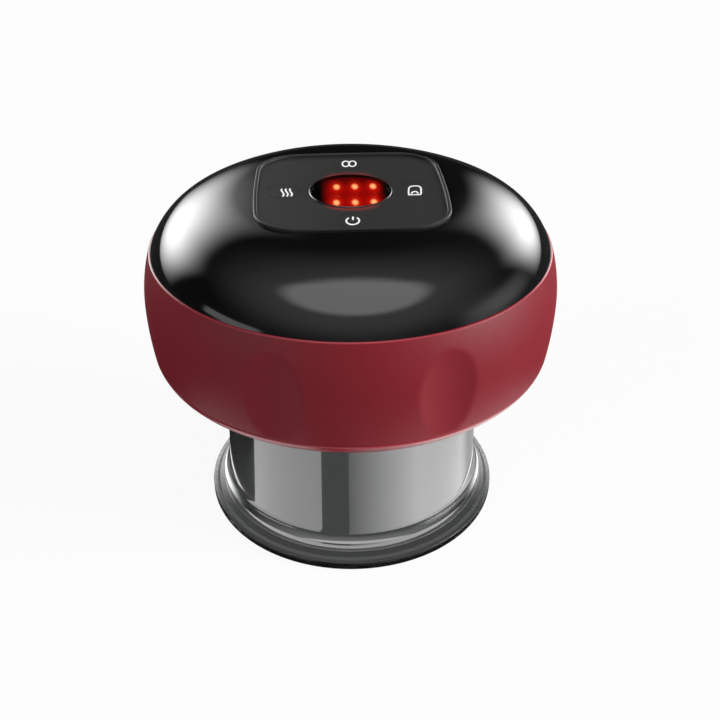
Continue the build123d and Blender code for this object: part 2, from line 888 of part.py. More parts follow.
with BuildPart() as inner_frame:
    with BuildSketch(Plane.XY.offset(floor_top)):
        Circle(frame_radius)
        with Locations((-valve_arm_end / 2, hose_y)):
            Rectangle(valve_arm_end, valve_size)
        with Locations((0, hose_y)):
            Circle(nozzle_foot_radius + nozzle_hole_gap, mode=Mode.SUBTRACT)
        with PolarLocations(frame_screw_circle, frame_screw_count):
            Circle(frame_screw_radius + head_gap, mode=Mode.SUBTRACT)
    extrude(amount=frame_plate)
    for cradle_x in (-cell_cradle_reach, cell_cradle_reach):
        with BuildSketch(Plane.YZ.offset(cradle_x - cradle_length / 2)):
            with Locations((cell_y, frame_top + cradle_rise / 2 - frame_plate / 4)):
                Rectangle(cell_cradle_width, cradle_rise + frame_plate / 2)
            with Locations((cell_y, cell_z)):
                Circle(cell_radius + cradle_gap, mode=Mode.SUBTRACT)
        extrude(amount=cradle_length)
    for cradle_x in pump_cradle_x:
        seat_radius = motor_radius if cradle_x < pump_start + motor_length else pump_radius
        with BuildSketch(Plane.YZ.offset(cradle_x - cradle_length / 2)):
            with Locations((pump_y, frame_top + cradle_rise / 2 - frame_plate / 4)):
                Rectangle(pump_cradle_width, cradle_rise + frame_plate / 2)
            with Locations((pump_y, pump_z)):
                Circle(seat_radius + cradle_gap, mode=Mode.SUBTRACT)
        extrude(amount=cradle_length)
save(inner_frame, "inner_frame")

with BuildPart() as frame_screws:
    with BuildSketch(Plane.XY.offset(frame_top)):
        with PolarLocations(frame_screw_circle, frame_screw_count):
            Circle(frame_screw_head)
    extrude(amount=frame_screw_head_height)
    with BuildSketch(Plane.XY.offset(frame_top)):
        with PolarLocations(frame_screw_circle, frame_screw_count):
            Circle(frame_screw_radius)
    extrude(amount=-frame_screw_length + touch_gap)
save(frame_screws, "frame_screws")


# Cell, laid across the front

with BuildPart() as battery_cell:
    with BuildSketch(Plane.YZ.offset(-cell_length / 2)):
        with Locations((cell_y, cell_z)):
            Circle(cell_radius)
    extrude(amount=cell_length)
    with BuildSketch(Plane.YZ.offset(cell_length / 2)):
        with Locations((cell_y, cell_z)):
            Circle(cell_nub_radius)
    extrude(amount=cell_nub)
save(battery_cell, "battery_cell")


def strap(name, middle_x, middle_y, middle_z, radius):
    # thin band over a round piece, with both legs standing on the frame
    with BuildPart() as band_strap:
        with BuildSketch(Plane.YZ.offset(middle_x - strap_width / 2)):
            with Locations((middle_y, middle_z)):
                Circle(radius + strap_thickness)
            with Locations((middle_y, (frame_top + middle_z) / 2)):
                Rectangle(2 * (radius + strap_thickness), middle_z - frame_top)
            with Locations((middle_y, middle_z)):
                Circle(radius, mode=Mode.SUBTRACT)
            with Locations((middle_y, (frame_top + middle_z) / 2 - overrun)):
                Rectangle(2 * radius, middle_z - frame_top + 2 * overrun, mode=Mode.SUBTRACT)
        extrude(amount=strap_width)
    save(band_strap, name)


strap("battery_strap", cell_strap_x, cell_y, cell_z, cell_radius + touch_gap)


# Pump motor

motor_end = pump_start + motor_length
can_inner = motor_radius - motor_wall
flat_inner = motor_flat - motor_wall
magnet_inner = can_inner - magnet_arc_thickness
armature_radius = magnet_inner - armature_gap
armature_middle = pump_start + end_cap_thickness + (motor_length - end_cap_thickness) / 2
pump_centre = (pump_y, pump_z)

with BuildPart() as motor_can:
    with BuildSketch(Plane.YZ.offset(pump_start + end_cap_thickness)):
        with Locations(pump_centre):
            Circle(motor_radius)
            Rectangle(2 * motor_radius, 2 * motor_flat, mode=Mode.INTERSECT)
    extrude(amount=motor_length - end_cap_thickness)
    with BuildSketch(Plane.YZ.offset(pump_start)):
        with Locations(pump_centre):
            Circle(can_inner)
            Rectangle(2 * can_inner, 2 * flat_inner, mode=Mode.INTERSECT)
    extrude(amount=motor_length - motor_wall, mode=Mode.SUBTRACT)
    with BuildSketch(Plane.YZ.offset(motor_end)):
        with Locations(pump_centre):
            Circle(bearing_radius)
    extrude(amount=-bearing_length)
    with BuildSketch(Plane.YZ.offset(motor_end)):
        with Locations(pump_centre):
            Circle(shaft_radius + shaft_gap)
    extrude(amount=-bearing_length - overrun, mode=Mode.SUBTRACT)
save(motor_can, "motor_can")

with BuildPart() as motor_end_cap:
    with BuildSketch(Plane.YZ.offset(pump_start)):
        with Locations(pump_centre):
            Circle(motor_radius)
            Rectangle(2 * motor_radius, 2 * motor_flat, mode=Mode.INTERSECT)
    extrude(amount=end_cap_thickness)
    with BuildSketch(Plane.YZ.offset(pump_start)):
        with Locations(pump_centre):
            Circle(shaft_radius + shaft_gap)
    extrude(amount=end_cap_thickness, mode=Mode.SUBTRACT)
save(motor_end_cap, "motor_end_cap")

with BuildPart() as motor_magnets:
    with BuildSketch(Plane.YZ.offset(armature_middle - armature_length / 2)):
        with Locations(pump_centre):
            Circle(can_inner - touch_gap)
            Circle(magnet_inner, mode=Mode.SUBTRACT)
            Rectangle(2 * can_inner, 2 * magnet_inner / math.sqrt(2), mode=Mode.INTERSECT)
    extrude(amount=armature_length)
save(motor_magnets, "motor_magnets")

with BuildPart() as motor_armature:
    with BuildSketch(Plane.YZ.offset(armature_middle - armature_length / 2)):
        with Locations(pump_centre):
            Circle(armature_radius)
            for slot in range(armature_slot_count):
                with PolarLocations(armature_radius, 1, 360 * slot / armature_slot_count):
                    Rectangle(armature_radius, armature_slot, mode=Mode.SUBTRACT)
    extrude(amount=armature_length)
    with BuildSketch(Plane.YZ.offset(pump_start)):
        with Locations(pump_centre):
            Circle(shaft_radius)
    extrude(amount=motor_length + eccentric_length)
save(motor_armature, "motor_armature")


# Pump: the eccentric tips a plate that works three rubber cups against the head

pump_base_end = motor_end + pump_base_length
diaphragm_end = pump_base_end + diaphragm_thickness
pump_end = diaphragm_end + pump_head_length
pin_start = motor_end + 2 * touch_gap + eccentric_length
swash_start = pump_base_end - diaphragm_cup_depth - swash_thickness
port_places = [(pump_y - port_shift, hose_z), (pump_y + port_shift, hose_z)]


with BuildPart() as eccentric:
    with BuildSketch(Plane.YZ.offset(motor_end + 2 * touch_gap)):
        with Locations(pump_centre):
            Circle(eccentric_radius)
            Circle(shaft_radius + press_gap, mode=Mode.SUBTRACT)
    extrude(amount=eccentric_length)
    with BuildSketch(Plane.YZ.offset(pin_start)):
        with Locations(pump_centre):
            Circle(eccentric_radius)
    extrude(amount=eccentric_web)
    with BuildSketch(Plane.YZ.offset(pin_start)):
        with Locations((pump_y + eccentric_offset, pump_z)):
            Circle(eccentric_pin_radius)
    extrude(amount=eccentric_pin_length)
save(eccentric, "eccentric")

with BuildPart() as pump_base:
    with BuildSketch(Plane.YZ.offset(motor_end)):
        with Locations(pump_centre):
            Circle(pump_radius)
    extrude(amount=pump_base_length)
    with BuildSketch(Plane.YZ.offset(motor_end)):
        with Locations(pump_centre):
            Circle(eccentric_radius + drop_in_gap)
    extrude(amount=pump_base_length, mode=Mode.SUBTRACT)
    with BuildSketch(Plane.YZ.offset(motor_end + pump_base_wall)):
        with Locations(pump_centre):
            Circle(pump_radius - 2 * pump_base_wall)
    extrude(amount=pump_base_length, mode=Mode.SUBTRACT)
    with BuildSketch(Plane.YZ.offset(pump_end)):
        with Locations(pump_centre):
            with PolarLocations(pump_screw_circle, pump_screw_count, pump_screw_angle):
                Circle(pump_screw_radius + touch_gap)
    extrude(amount=-pump_screw_length, mode=Mode.SUBTRACT)
save(pump_base, "pump_base")

with BuildPart() as swash_plate:
    with BuildSketch(Plane.YZ.offset(swash_start)):
        with Locations(pump_centre):
            Circle(swash_hub_radius)
            with PolarLocations(swash_reach / 2, diaphragm_cup_count):
                Rectangle(swash_reach, swash_arm_width)
            with PolarLocations(swash_reach, diaphragm_cup_count):
                Circle(swash_arm_width / 2)
            Circle(eccentric_offset + eccentric_pin_radius + drop_in_gap, mode=Mode.SUBTRACT)
    extrude(amount=swash_thickness)
save(swash_plate, "swash_plate")

with BuildPart() as pump_diaphragm:
    with BuildSketch(Plane.YZ.offset(pump_base_end)):
        with Locations(pump_centre):
            Circle(pump_radius)
    extrude(amount=diaphragm_thickness)
    with BuildSketch(Plane.YZ.offset(pump_base_end - diaphragm_cup_depth)):
        with Locations(pump_centre):
            with PolarLocations(swash_reach, diaphragm_cup_count):
                Circle(diaphragm_cup_radius)
    extrude(amount=diaphragm_cup_depth)
    with BuildSketch(Plane.YZ.offset(pump_base_end - diaphragm_cup_depth + diaphragm_cup_wall)):
        with Locations(pump_centre):
            with PolarLocations(swash_reach, diaphragm_cup_count):
                Circle(diaphragm_cup_radius - diaphragm_cup_wall)
    extrude(amount=diaphragm_cup_depth + diaphragm_thickness, mode=Mode.SUBTRACT)
    with BuildSketch(Plane.YZ.offset(pump_end)):
        with Locations(pump_centre):
            with PolarLocations(pump_screw_circle, pump_screw_count, pump_screw_angle):
                Circle(pump_screw_radius + touch_gap)
    extrude(amount=-pump_screw_length, mode=Mode.SUBTRACT)
save(pump_diaphragm, "pump_diaphragm")

with BuildPart() as pump_head:
    with BuildSketch(Plane.YZ.offset(diaphragm_end)):
        with Locations(pump_centre):
            Circle(pump_radius)
    extrude(amount=pump_head_length)
    with BuildSketch(Plane.YZ.offset(pump_end)):
        with Locations(*port_places):
            Circle(port_radius)
    extrude(amount=port_length)
    with BuildSketch(Plane.YZ.offset(pump_end - pump_head_length / 2)):
        with Locations(*port_places):
            Circle(port_bore)
    extrude(amount=pump_head_length / 2 + port_length, mode=Mode.SUBTRACT)
    with BuildSketch(Plane.YZ.offset(pump_end)):
        with Locations(pump_centre):
            with PolarLocations(pump_screw_circle, pump_screw_count, pump_screw_angle):
                Circle(pump_screw_radius + touch_gap)
    extrude(amount=-pump_screw_length, mode=Mode.SUBTRACT)
save(pump_head, "pump_head")

with BuildPart() as pump_screws:
    with BuildSketch(Plane.YZ.offset(pump_end)):
        with Locations(pump_centre):
            with PolarLocations(pump_screw_circle, pump_screw_count, pump_screw_angle):
                Circle(pump_screw_head)
    extrude(amount=pump_screw_head_height)
    with BuildSketch(Plane.YZ.offset(pump_end)):
        with Locations(pump_centre):
            with PolarLocations(pump_screw_circle, pump_screw_count, pump_screw_angle):
                Circle(pump_screw_radius)
    extrude(amount=-pump_screw_length)
save(pump_screws, "pump_screws")

strap("pump_strap", pump_strap_x, pump_y, pump_z, motor_radius + touch_gap)


# Air line: nozzle to tee, tee to pump and tee to valve

tee_bottom = hose_z - tee_drop
pump_hose_end = pump_end + port_length - hose_grip

with BuildPart() as hose_tee:
    with BuildSketch(Plane.YZ.offset(-tee_half_length)):
        with Locations((hose_y, hose_z)):
            Circle(port_radius)
    extrude(amount=2 * tee_half_length)
    with BuildSketch(Plane.XY.offset(tee_bottom)):
        with Locations((0, hose_y)):
            Circle(port_radius)
    extrude(amount=tee_drop - tee_block / 2)
    with BuildSketch(Plane.XY.offset(hose_z - tee_block)):
        with Locations((0, hose_y)):
            RectangleRounded(2 * tee_block, 2 * tee_block, tee_block / 4)
    extrude(amount=2 * tee_block)
    with BuildSketch(Plane.YZ.offset(-tee_half_length)):
        with Locations((hose_y, hose_z)):
            Circle(port_bore)
    extrude(amount=2 * tee_half_length, mode=Mode.SUBTRACT)
    with BuildSketch(Plane.XY.offset(tee_bottom)):
        with Locations((0, hose_y)):
            Circle(nozzle_bore)
    extrude(amount=tee_drop, mode=Mode.SUBTRACT)
save(hose_tee, "hose_tee")

with BuildPart() as nozzle_hose:
    with BuildSketch(Plane.XY.offset(floor_top + nozzle_foot + touch_gap)):
        with Locations((0, hose_y)):
            Circle(hose_radius)
            Circle(hose_bore, mode=Mode.SUBTRACT)
    extrude(amount=hose_z - tee_block - floor_top - nozzle_foot - 2 * touch_gap)
save(nozzle_hose, "nozzle_hose")

port_y = pump_y + port_shift
turn_radius = (port_y - hose_y) / 2
turn_x = pump_end + port_length

with BuildPart() as pump_hose:
    with BuildLine():
        Line((tee_half_length - hose_grip, hose_y, hose_z), (turn_x, hose_y, hose_z))
        ThreePointArc((turn_x, hose_y, hose_z), (turn_x + turn_radius, hose_y + turn_radius, hose_z),
                      (turn_x, port_y, hose_z))
        Line((turn_x, port_y, hose_z), (pump_hose_end, port_y, hose_z))
    with BuildSketch(Plane.YZ.offset(tee_half_length - hose_grip)):
        with Locations((hose_y, hose_z)):
            Circle(hose_radius)
            Circle(hose_bore, mode=Mode.SUBTRACT)
    sweep()
save(pump_hose, "pump_hose")

valve_face = valve_x + valve_size / 2

with BuildPart() as valve_hose:
    with BuildSketch(Plane.YZ.offset(-tee_half_length + hose_grip)):
        with Locations((hose_y, hose_z)):
            Circle(hose_radius)
            Circle(hose_bore, mode=Mode.SUBTRACT)
    extrude(amount=valve_face + port_length - hose_grip + tee_half_length - hose_grip)
save(valve_hose, "valve_hose")


# Release valve: a plunger in a coil, pressed onto its seat by a spring

valve_top = frame_top + valve_height
plunger_low = frame_top + valve_seat_height + valve_seat_gap
plunger_high = plunger_low + valve_plunger_length
bore_top = valve_top - valve_wall

with BuildPart() as valve_body:
    with BuildSketch(Plane.XY.offset(frame_top)):
        with Locations((valve_x, hose_y)):
            RectangleRounded(valve_size, valve_size, valve_wall)
    extrude(amount=valve_height)
    with BuildSketch(Plane.XY.offset(frame_top + valve_seat_height)):
        with Locations((valve_x, hose_y)):
            Circle(valve_bore)
    extrude(amount=bore_top - frame_top - valve_seat_height, mode=Mode.SUBTRACT)
    with BuildSketch(Plane.YZ.offset(valve_face)):
        with Locations((hose_y, hose_z)):
            Circle(port_radius)
    extrude(amount=port_length)
    with BuildSketch(Plane.YZ.offset(valve_x)):
        with Locations((hose_y, hose_z)):
            Circle(port_bore)
    extrude(amount=valve_size / 2 + port_length, mode=Mode.SUBTRACT)
save(valve_body, "valve_body")

with BuildPart() as valve_plunger:
    with BuildSketch(Plane.XY.offset(plunger_low)):
        with Locations((valve_x, hose_y)):
            Circle(valve_plunger_radius)
    extrude(amount=valve_plunger_length)
save(valve_plunger, "valve_plunger")

spring_low = plunger_high + spring_end_gap + spring_wire_radius
spring_high = bore_top - spring_end_gap - spring_wire_radius
spring_pitch = (spring_high - spring_low) / spring_turns

with BuildPart() as valve_spring:
    with BuildLine(Plane.XY.offset(spring_low)) as spring_line:
        Helix(pitch=spring_pitch, height=spring_high - spring_low, radius=spring_coil_radius,
              center=(valve_x, hose_y, 0))
    with BuildSketch(Plane(origin=spring_line.line @ 0, z_dir=spring_line.line % 0)):
        Circle(spring_wire_radius)
    sweep()
save(valve_spring, "valve_spring")


# Charging inlet, behind a slot at the back of the side wall

shell_mouth = side_radius_at(port_z) - shell_sink
shell_end = shell_mouth - shell_length
charge_board_top = port_z - shell_height / 2
board_back = math.sqrt(side_radius_at(port_z)**2 - (charge_board_width / 2)**2) - red_wall - drop_in_gap

with BuildPart() as charge_socket:
    with BuildSketch(Plane.XZ.offset(-shell_end)):
        with Locations((0, port_z)):
            SlotOverall(shell_width, shell_height)
    extrude(amount=-shell_length)
    with BuildSketch(Plane.XZ.offset(-shell_end - shell_back)):
        with Locations((0, port_z)):
            SlotOverall(shell_width - 2 * shell_wall, shell_height - 2 * shell_wall)
    extrude(amount=-shell_length, mode=Mode.SUBTRACT)
save(charge_socket, "charge_socket")

with BuildPart() as charge_tongue:
    with BuildSketch(Plane.XZ.offset(-shell_end - shell_back)):
        with Locations((0, port_z)):
            Rectangle(tongue_width, tongue_thickness)
    extrude(amount=-tongue_length)
save(charge_tongue, "charge_tongue")

with BuildPart() as charge_board:
    with BuildSketch(Plane.XY.offset(charge_board_top - charge_board_thickness)):
        with Locations((0, board_back - charge_board_length / 2)):
            Rectangle(charge_board_width, charge_board_length)
    extrude(amount=charge_board_thickness)
save(charge_board, "charge_board")
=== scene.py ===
import bpy
import bmesh
import json
import math
from mathutils import Matrix, Vector


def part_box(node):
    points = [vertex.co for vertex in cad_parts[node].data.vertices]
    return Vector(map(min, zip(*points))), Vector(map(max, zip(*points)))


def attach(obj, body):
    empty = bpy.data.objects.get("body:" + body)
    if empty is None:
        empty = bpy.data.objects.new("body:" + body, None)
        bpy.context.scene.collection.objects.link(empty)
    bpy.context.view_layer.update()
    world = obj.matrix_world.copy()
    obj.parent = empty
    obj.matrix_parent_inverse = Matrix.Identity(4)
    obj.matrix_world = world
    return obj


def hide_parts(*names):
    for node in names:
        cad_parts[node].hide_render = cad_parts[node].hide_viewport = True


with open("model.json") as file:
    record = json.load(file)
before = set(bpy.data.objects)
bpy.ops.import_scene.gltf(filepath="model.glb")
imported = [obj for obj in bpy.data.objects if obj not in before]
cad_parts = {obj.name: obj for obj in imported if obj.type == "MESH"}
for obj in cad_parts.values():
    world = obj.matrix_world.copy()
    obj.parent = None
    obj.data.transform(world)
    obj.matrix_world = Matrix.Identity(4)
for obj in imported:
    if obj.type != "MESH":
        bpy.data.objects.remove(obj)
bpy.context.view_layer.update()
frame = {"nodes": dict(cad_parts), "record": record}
print("frame loaded:", len(frame["nodes"]), "nodes")

mm = 0.001  # sizes below are in millimetres, Blender's are in metres
scene = bpy.context.scene
nodes = frame["nodes"]
slotOf = {row["node"]: row["material_slot"] for row in frame["record"]["subparts"]}
bodyOf = {node: body for body, members in frame["record"]["behaviour"]["bodies"].items() for node in members}


# Node trees

def feed(tree, node, inputs):
    # sets a node's inputs, each to a value or to another node's output
    for key, value in inputs.items():
        if isinstance(value, bpy.types.NodeSocket):
            tree.links.new(value, node.inputs[key])
        else:
            node.inputs[key].default_value = value
    return node


def addNode(tree, kind, inputs=None, **settings):
    node = tree.nodes.new(kind)
    for key, value in settings.items():
        setattr(node, key, value)
    return feed(tree, node, inputs or {})


def calc(tree, operation, *inputs):
    # one Math node, whose inputs are numbers or outputs
    return addNode(tree, "ShaderNodeMath", dict(enumerate(inputs)), operation=operation).outputs[0]


def smoothMask(tree, value, full, none):
    # 1 where the value is at full, 0 where it is at none, and smooth between
    ends = {"Value": value, "From Min": none, "From Max": full}
    return addNode(tree, "ShaderNodeMapRange", ends, interpolation_type="SMOOTHSTEP").outputs["Result"]


def distance(tree, x, y):
    return calc(tree, "SQRT", calc(tree, "MULTIPLY_ADD", x, x, calc(tree, "MULTIPLY", y, y)))


def placeOn(tree):
    # the place on the piece, which a pattern follows
    return addNode(tree, "ShaderNodeTexCoord").outputs["Object"]


def split(tree, vector):
    return addNode(tree, "ShaderNodeSeparateXYZ", {0: vector}).outputs


def noise(tree, vector, scale, detail, roughness=0.5):
    values = {"Vector": vector, "Scale": scale, "Detail": detail, "Roughness": roughness}
    return addNode(tree, "ShaderNodeTexNoise", values).outputs["Fac"]


def socketKind(default):
    # a word stands for a kind of socket that has no default
    if isinstance(default, tuple):
        return "Color" if len(default) == 4 else "Vector"
    return {float: "Float", int: "Int"}.get(type(default), default)


def makeGroup(name, inputs, outputs, kind="ShaderNodeTree"):
    # inputs are {name: default} and outputs {name: kind}; returns the tree, what it is given, and its end
    tree = bpy.data.node_groups.new(name, kind)
    for title, default in inputs.items():
        socket = tree.interface.new_socket(name=title, in_out="INPUT", socket_type="NodeSocket" + socketKind(default))
        if not isinstance(default, str):
            socket.default_value = default
    for title, outKind in outputs.items():
        tree.interface.new_socket(name=title, in_out="OUTPUT", socket_type="NodeSocket" + outKind)
    return tree, tree.nodes.new("NodeGroupInput").outputs, tree.nodes.new("NodeGroupOutput")


# Shader groups that several finishes use

surfaceLook = {
    "grainHeight": 0.00005, "lineHeight": 0.00002,  # in metres, at full depth
    "grain": (3.0, 0.6), "patches": (4.0, 0.55), "lineDetail": 2.0,  # detail and roughness of the noise
}


def mouldedSurface():
    # fine moulding grain as a normal, and slow patches for tone and gloss
    tree, given, end = makeGroup(
        "mouldedSurface",
        {"Grain Scale": 3000.0, "Grain Depth": 0.1, "Patch Scale": 60.0, "Colour": (0.5, 0.5, 0.5, 1),
         "Colour Drift": 0.1, "Gloss": 0.4, "Gloss Drift": 0.05},
        {"Color": "Color", "Roughness": "Float", "Normal": "Vector"})
    look, place = surfaceLook, placeOn(tree)
    grain = noise(tree, place, given["Grain Scale"], *look["grain"])
    patches = noise(tree, place, given["Patch Scale"], *look["patches"])
    bump = addNode(tree, "ShaderNodeBump", {"Distance": look["grainHeight"], "Strength": given["Grain Depth"],
                                            "Height": grain})
    swing = calc(tree, "SUBTRACT", patches, 0.5)
    tone = calc(tree, "MULTIPLY_ADD", swing, given["Colour Drift"], 1.0)
    colour = addNode(tree, "ShaderNodeVectorMath", {0: given["Colour"], "Scale": tone}, operation="SCALE")
    gloss = calc(tree, "MULTIPLY_ADD", swing, given["Gloss Drift"], given["Gloss"])
    feed(tree, end, {"Color": colour.outputs["Vector"], "Roughness": gloss, "Normal": bump.outputs["Normal"]})
    return tree


def drawnLines():
    # long fine lines along one direction, as on drawn or brushed metal
    tree, given, end = makeGroup(
        "drawnLines",
        {"Stretch": (1.0, 1.0, 20.0), "Scale": 900.0, "Low": 0.2, "High": 0.4, "Depth": 0.1},
        {"Roughness": "Float", "Normal": "Vector"})
    stretched = addNode(tree, "ShaderNodeVectorMath", {0: placeOn(tree), 1: given["Stretch"]}, operation="MULTIPLY")
    lines = noise(tree, stretched.outputs["Vector"], given["Scale"], surfaceLook["lineDetail"])
    spread = addNode(tree, "ShaderNodeMapRange", {"Value": lines, "To Min": given["Low"], "To Max": given["High"]})
    bump = addNode(tree, "ShaderNodeBump", {"Distance": surfaceLook["lineHeight"], "Strength": given["Depth"],
                                            "Height": lines})
    feed(tree, end, {"Roughness": spread.outputs["Result"], "Normal": bump.outputs["Normal"]})
    return tree


mouldedGroup = mouldedSurface()
drawnGroup = drawnLines()


# Finishes

def newMaterial(name):
    material = bpy.data.materials.new(name)
    material.use_nodes = True
    tree = material.node_tree
    return material, tree, tree.nodes["Principled BSDF"]


def mouldedNodes(name, colour, gloss, drift=0.12, glossDrift=0.08, grain=(2500.0, 0.12), patch=70.0, **constants):
    # plastic, rubber or coating: grain, slow tone drift and uneven gloss
    material, tree, shader = newMaterial(name)
    values = {"Grain Scale": grain[0], "Grain Depth": grain[1], "Patch Scale": patch, "Colour": (*colour, 1),
              "Colour Drift": drift, "Gloss": gloss, "Gloss Drift": glossDrift}
    surface = addNode(tree, "ShaderNodeGroup", values, node_tree=mouldedGroup).outputs
    feed(tree, shader, {"Base Color": surface["Color"], "Roughness": surface["Roughness"], "Normal": surface["Normal"],
                        **{title.replace("_", " "): value for title, value in constants.items()}})
    return material, tree, shader


def mouldedFinish(*values, **constants):
    return mouldedNodes(*values, **constants)[0]


def panelFinish(name):
    return mouldedNodes(name, (0.0125, 0.0125, 0.012), 0.42, grain=(7000.0, 0.2), Specular_IOR_Level=0.28)


def metalFinish(name, colour, low, high, stretch=(1.0, 1.0, 20.0)):
    # drawn, turned or plated metal
    material, tree, shader = newMaterial(name)
    values = {"Stretch": stretch, "Low": low, "High": high}
    lines = addNode(tree, "ShaderNodeGroup", values, node_tree=drawnGroup).outputs
    feed(tree, shader, {"Base Color": (*colour, 1), "Metallic": 1.0,
                        "Roughness": lines["Roughness"], "Normal": lines["Normal"]})
    return material


lightLook = {  # what shines up through the window, in mm
    "dotColumns": (-3.05, 0.8, 4.65),
    "dotRows": ((-4.3, 0.0), (3.7, 0.28)),  # place, and shift aside
    "dotCore": 0.1, "dotRadius": 0.95, "haloRadius": 2.3, "stretch": 2.1,
    "fieldLeft": -5.1, "fieldRight": 6.3, "fieldEdge": 1.3,
    "fieldFront": 1.0, "fieldRear": 9.0, "rearShade": 0.25,
    "grainScale": 450.0, "grainDetail": 2.0, "grainSwing": 0.5,
    "fieldColour": (0.34, 0.0012, 0.0006, 1), "haloColour": (0.42, 0.008, 0.001, 1),
    "dotColour": (1.3, 0.75, 0.28, 1), "strength": 4.6,
    "ground": (0.004, 0.002, 0.002, 1), "groundGloss": 0.6,
}


def lightFinish():
    # lit diffuser: a red field with soft sides and six hot points with a halo
    look = lightLook
    material, tree, shader = newMaterial("litDiffuser")
    place = placeOn(tree)
    x, y, _ = split(tree, place)
    left, right, edge = look["fieldLeft"], look["fieldRight"], look["fieldEdge"]
    leftMask = smoothMask(tree, x, (left + edge) * mm, (left - edge) * mm)
    rightMask = smoothMask(tree, x, (right - edge) * mm, (right + edge) * mm)
    rearMask = smoothMask(tree, y, look["fieldFront"] * mm, look["fieldRear"] * mm)
    rear = calc(tree, "MULTIPLY_ADD", rearMask, 1 - look["rearShade"], look["rearShade"])
    field = calc(tree, "MULTIPLY", calc(tree, "MULTIPLY", leftMask, rightMask), rear)
    dots, halos = 0.0, 0.0
    for column in look["dotColumns"]:
        for row, shift in look["dotRows"]:
            aside = calc(tree, "SUBTRACT", x, (column + shift) * mm)
            ahead = calc(tree, "DIVIDE", calc(tree, "SUBTRACT", y, row * mm), look["stretch"])
            away = distance(tree, aside, ahead)
            dots = calc(tree, "ADD", smoothMask(tree, away, look["dotCore"] * mm, look["dotRadius"] * mm), dots)
            halos = calc(tree, "ADD", smoothMask(tree, away, 0.0, look["haloRadius"] * mm), halos)
    grain = noise(tree, place, look["grainScale"], look["grainDetail"])
    swing = look["grainSwing"]
    field = calc(tree, "MULTIPLY", field, calc(tree, "MULTIPLY_ADD", grain, swing, 1 - swing / 2))
    glow = (0.0, 0.0, 0.0, 1)
    for mask, colour in ((field, look["fieldColour"]), (halos, look["haloColour"]), (dots, look["dotColour"])):
        layer = addNode(tree, "ShaderNodeMix", {"Factor": mask, "A": glow, "B": colour},
                        data_type="RGBA", blend_type="ADD")
        glow = layer.outputs["Result"]
    feed(tree, shader, {"Emission Color": glow, "Emission Strength": look["strength"],
                        "Base Color": look["ground"], "Roughness": look["groundGloss"], "Specular IOR Level": 0.0})
    return material


cupLook = {
    "tint": (0.06, 0.063, 0.063), "drift": 0.08, "roughness": 0.2, "haze": 0.05, "grain": (700.0, 0.04), "patch": 90.0,
    "index": 1.3, "specular": 0.5, "coat": 1.0, "coatGloss": 0.02, "coatIndex": 2.0,
    "foot": (2.8, 3.0), "footShade": 0.9, "footCoat": 0.01,  # the flange's tint is painted darker as shade, and it mirrors less
}


def cupFinish():
    # clear smoke-grey plastic with faint moulding streaks
    look = cupLook
    material, tree, shader = mouldedNodes(
        "cupFinish", look["tint"], look["roughness"], look["drift"], look["haze"], look["grain"], look["patch"],
        Transmission_Weight=1.0, IOR=look["index"], Coat_Roughness=look["coatGloss"], Coat_IOR=look["coatIndex"])
    flange, wall = look["foot"]
    above = smoothMask(tree, split(tree, placeOn(tree))["Z"], wall * mm, flange * mm)

    def rising(onFlange, onWall):
        return calc(tree, "MULTIPLY_ADD", above, onWall - onFlange, onFlange)

    tint = shader.inputs["Base Color"].links[0].from_socket
    # painted shade: the tint is darker on the flange
    shade = addNode(tree, "ShaderNodeVectorMath", {0: tint, "Scale": rising(look["footShade"], 1)}, operation="SCALE")
    feed(tree, shader, {"Base Color": shade.outputs[0], "Coat Weight": rising(look["footCoat"], look["coat"]),
                        "Specular IOR Level": rising(0.0, look["specular"])})
    return material


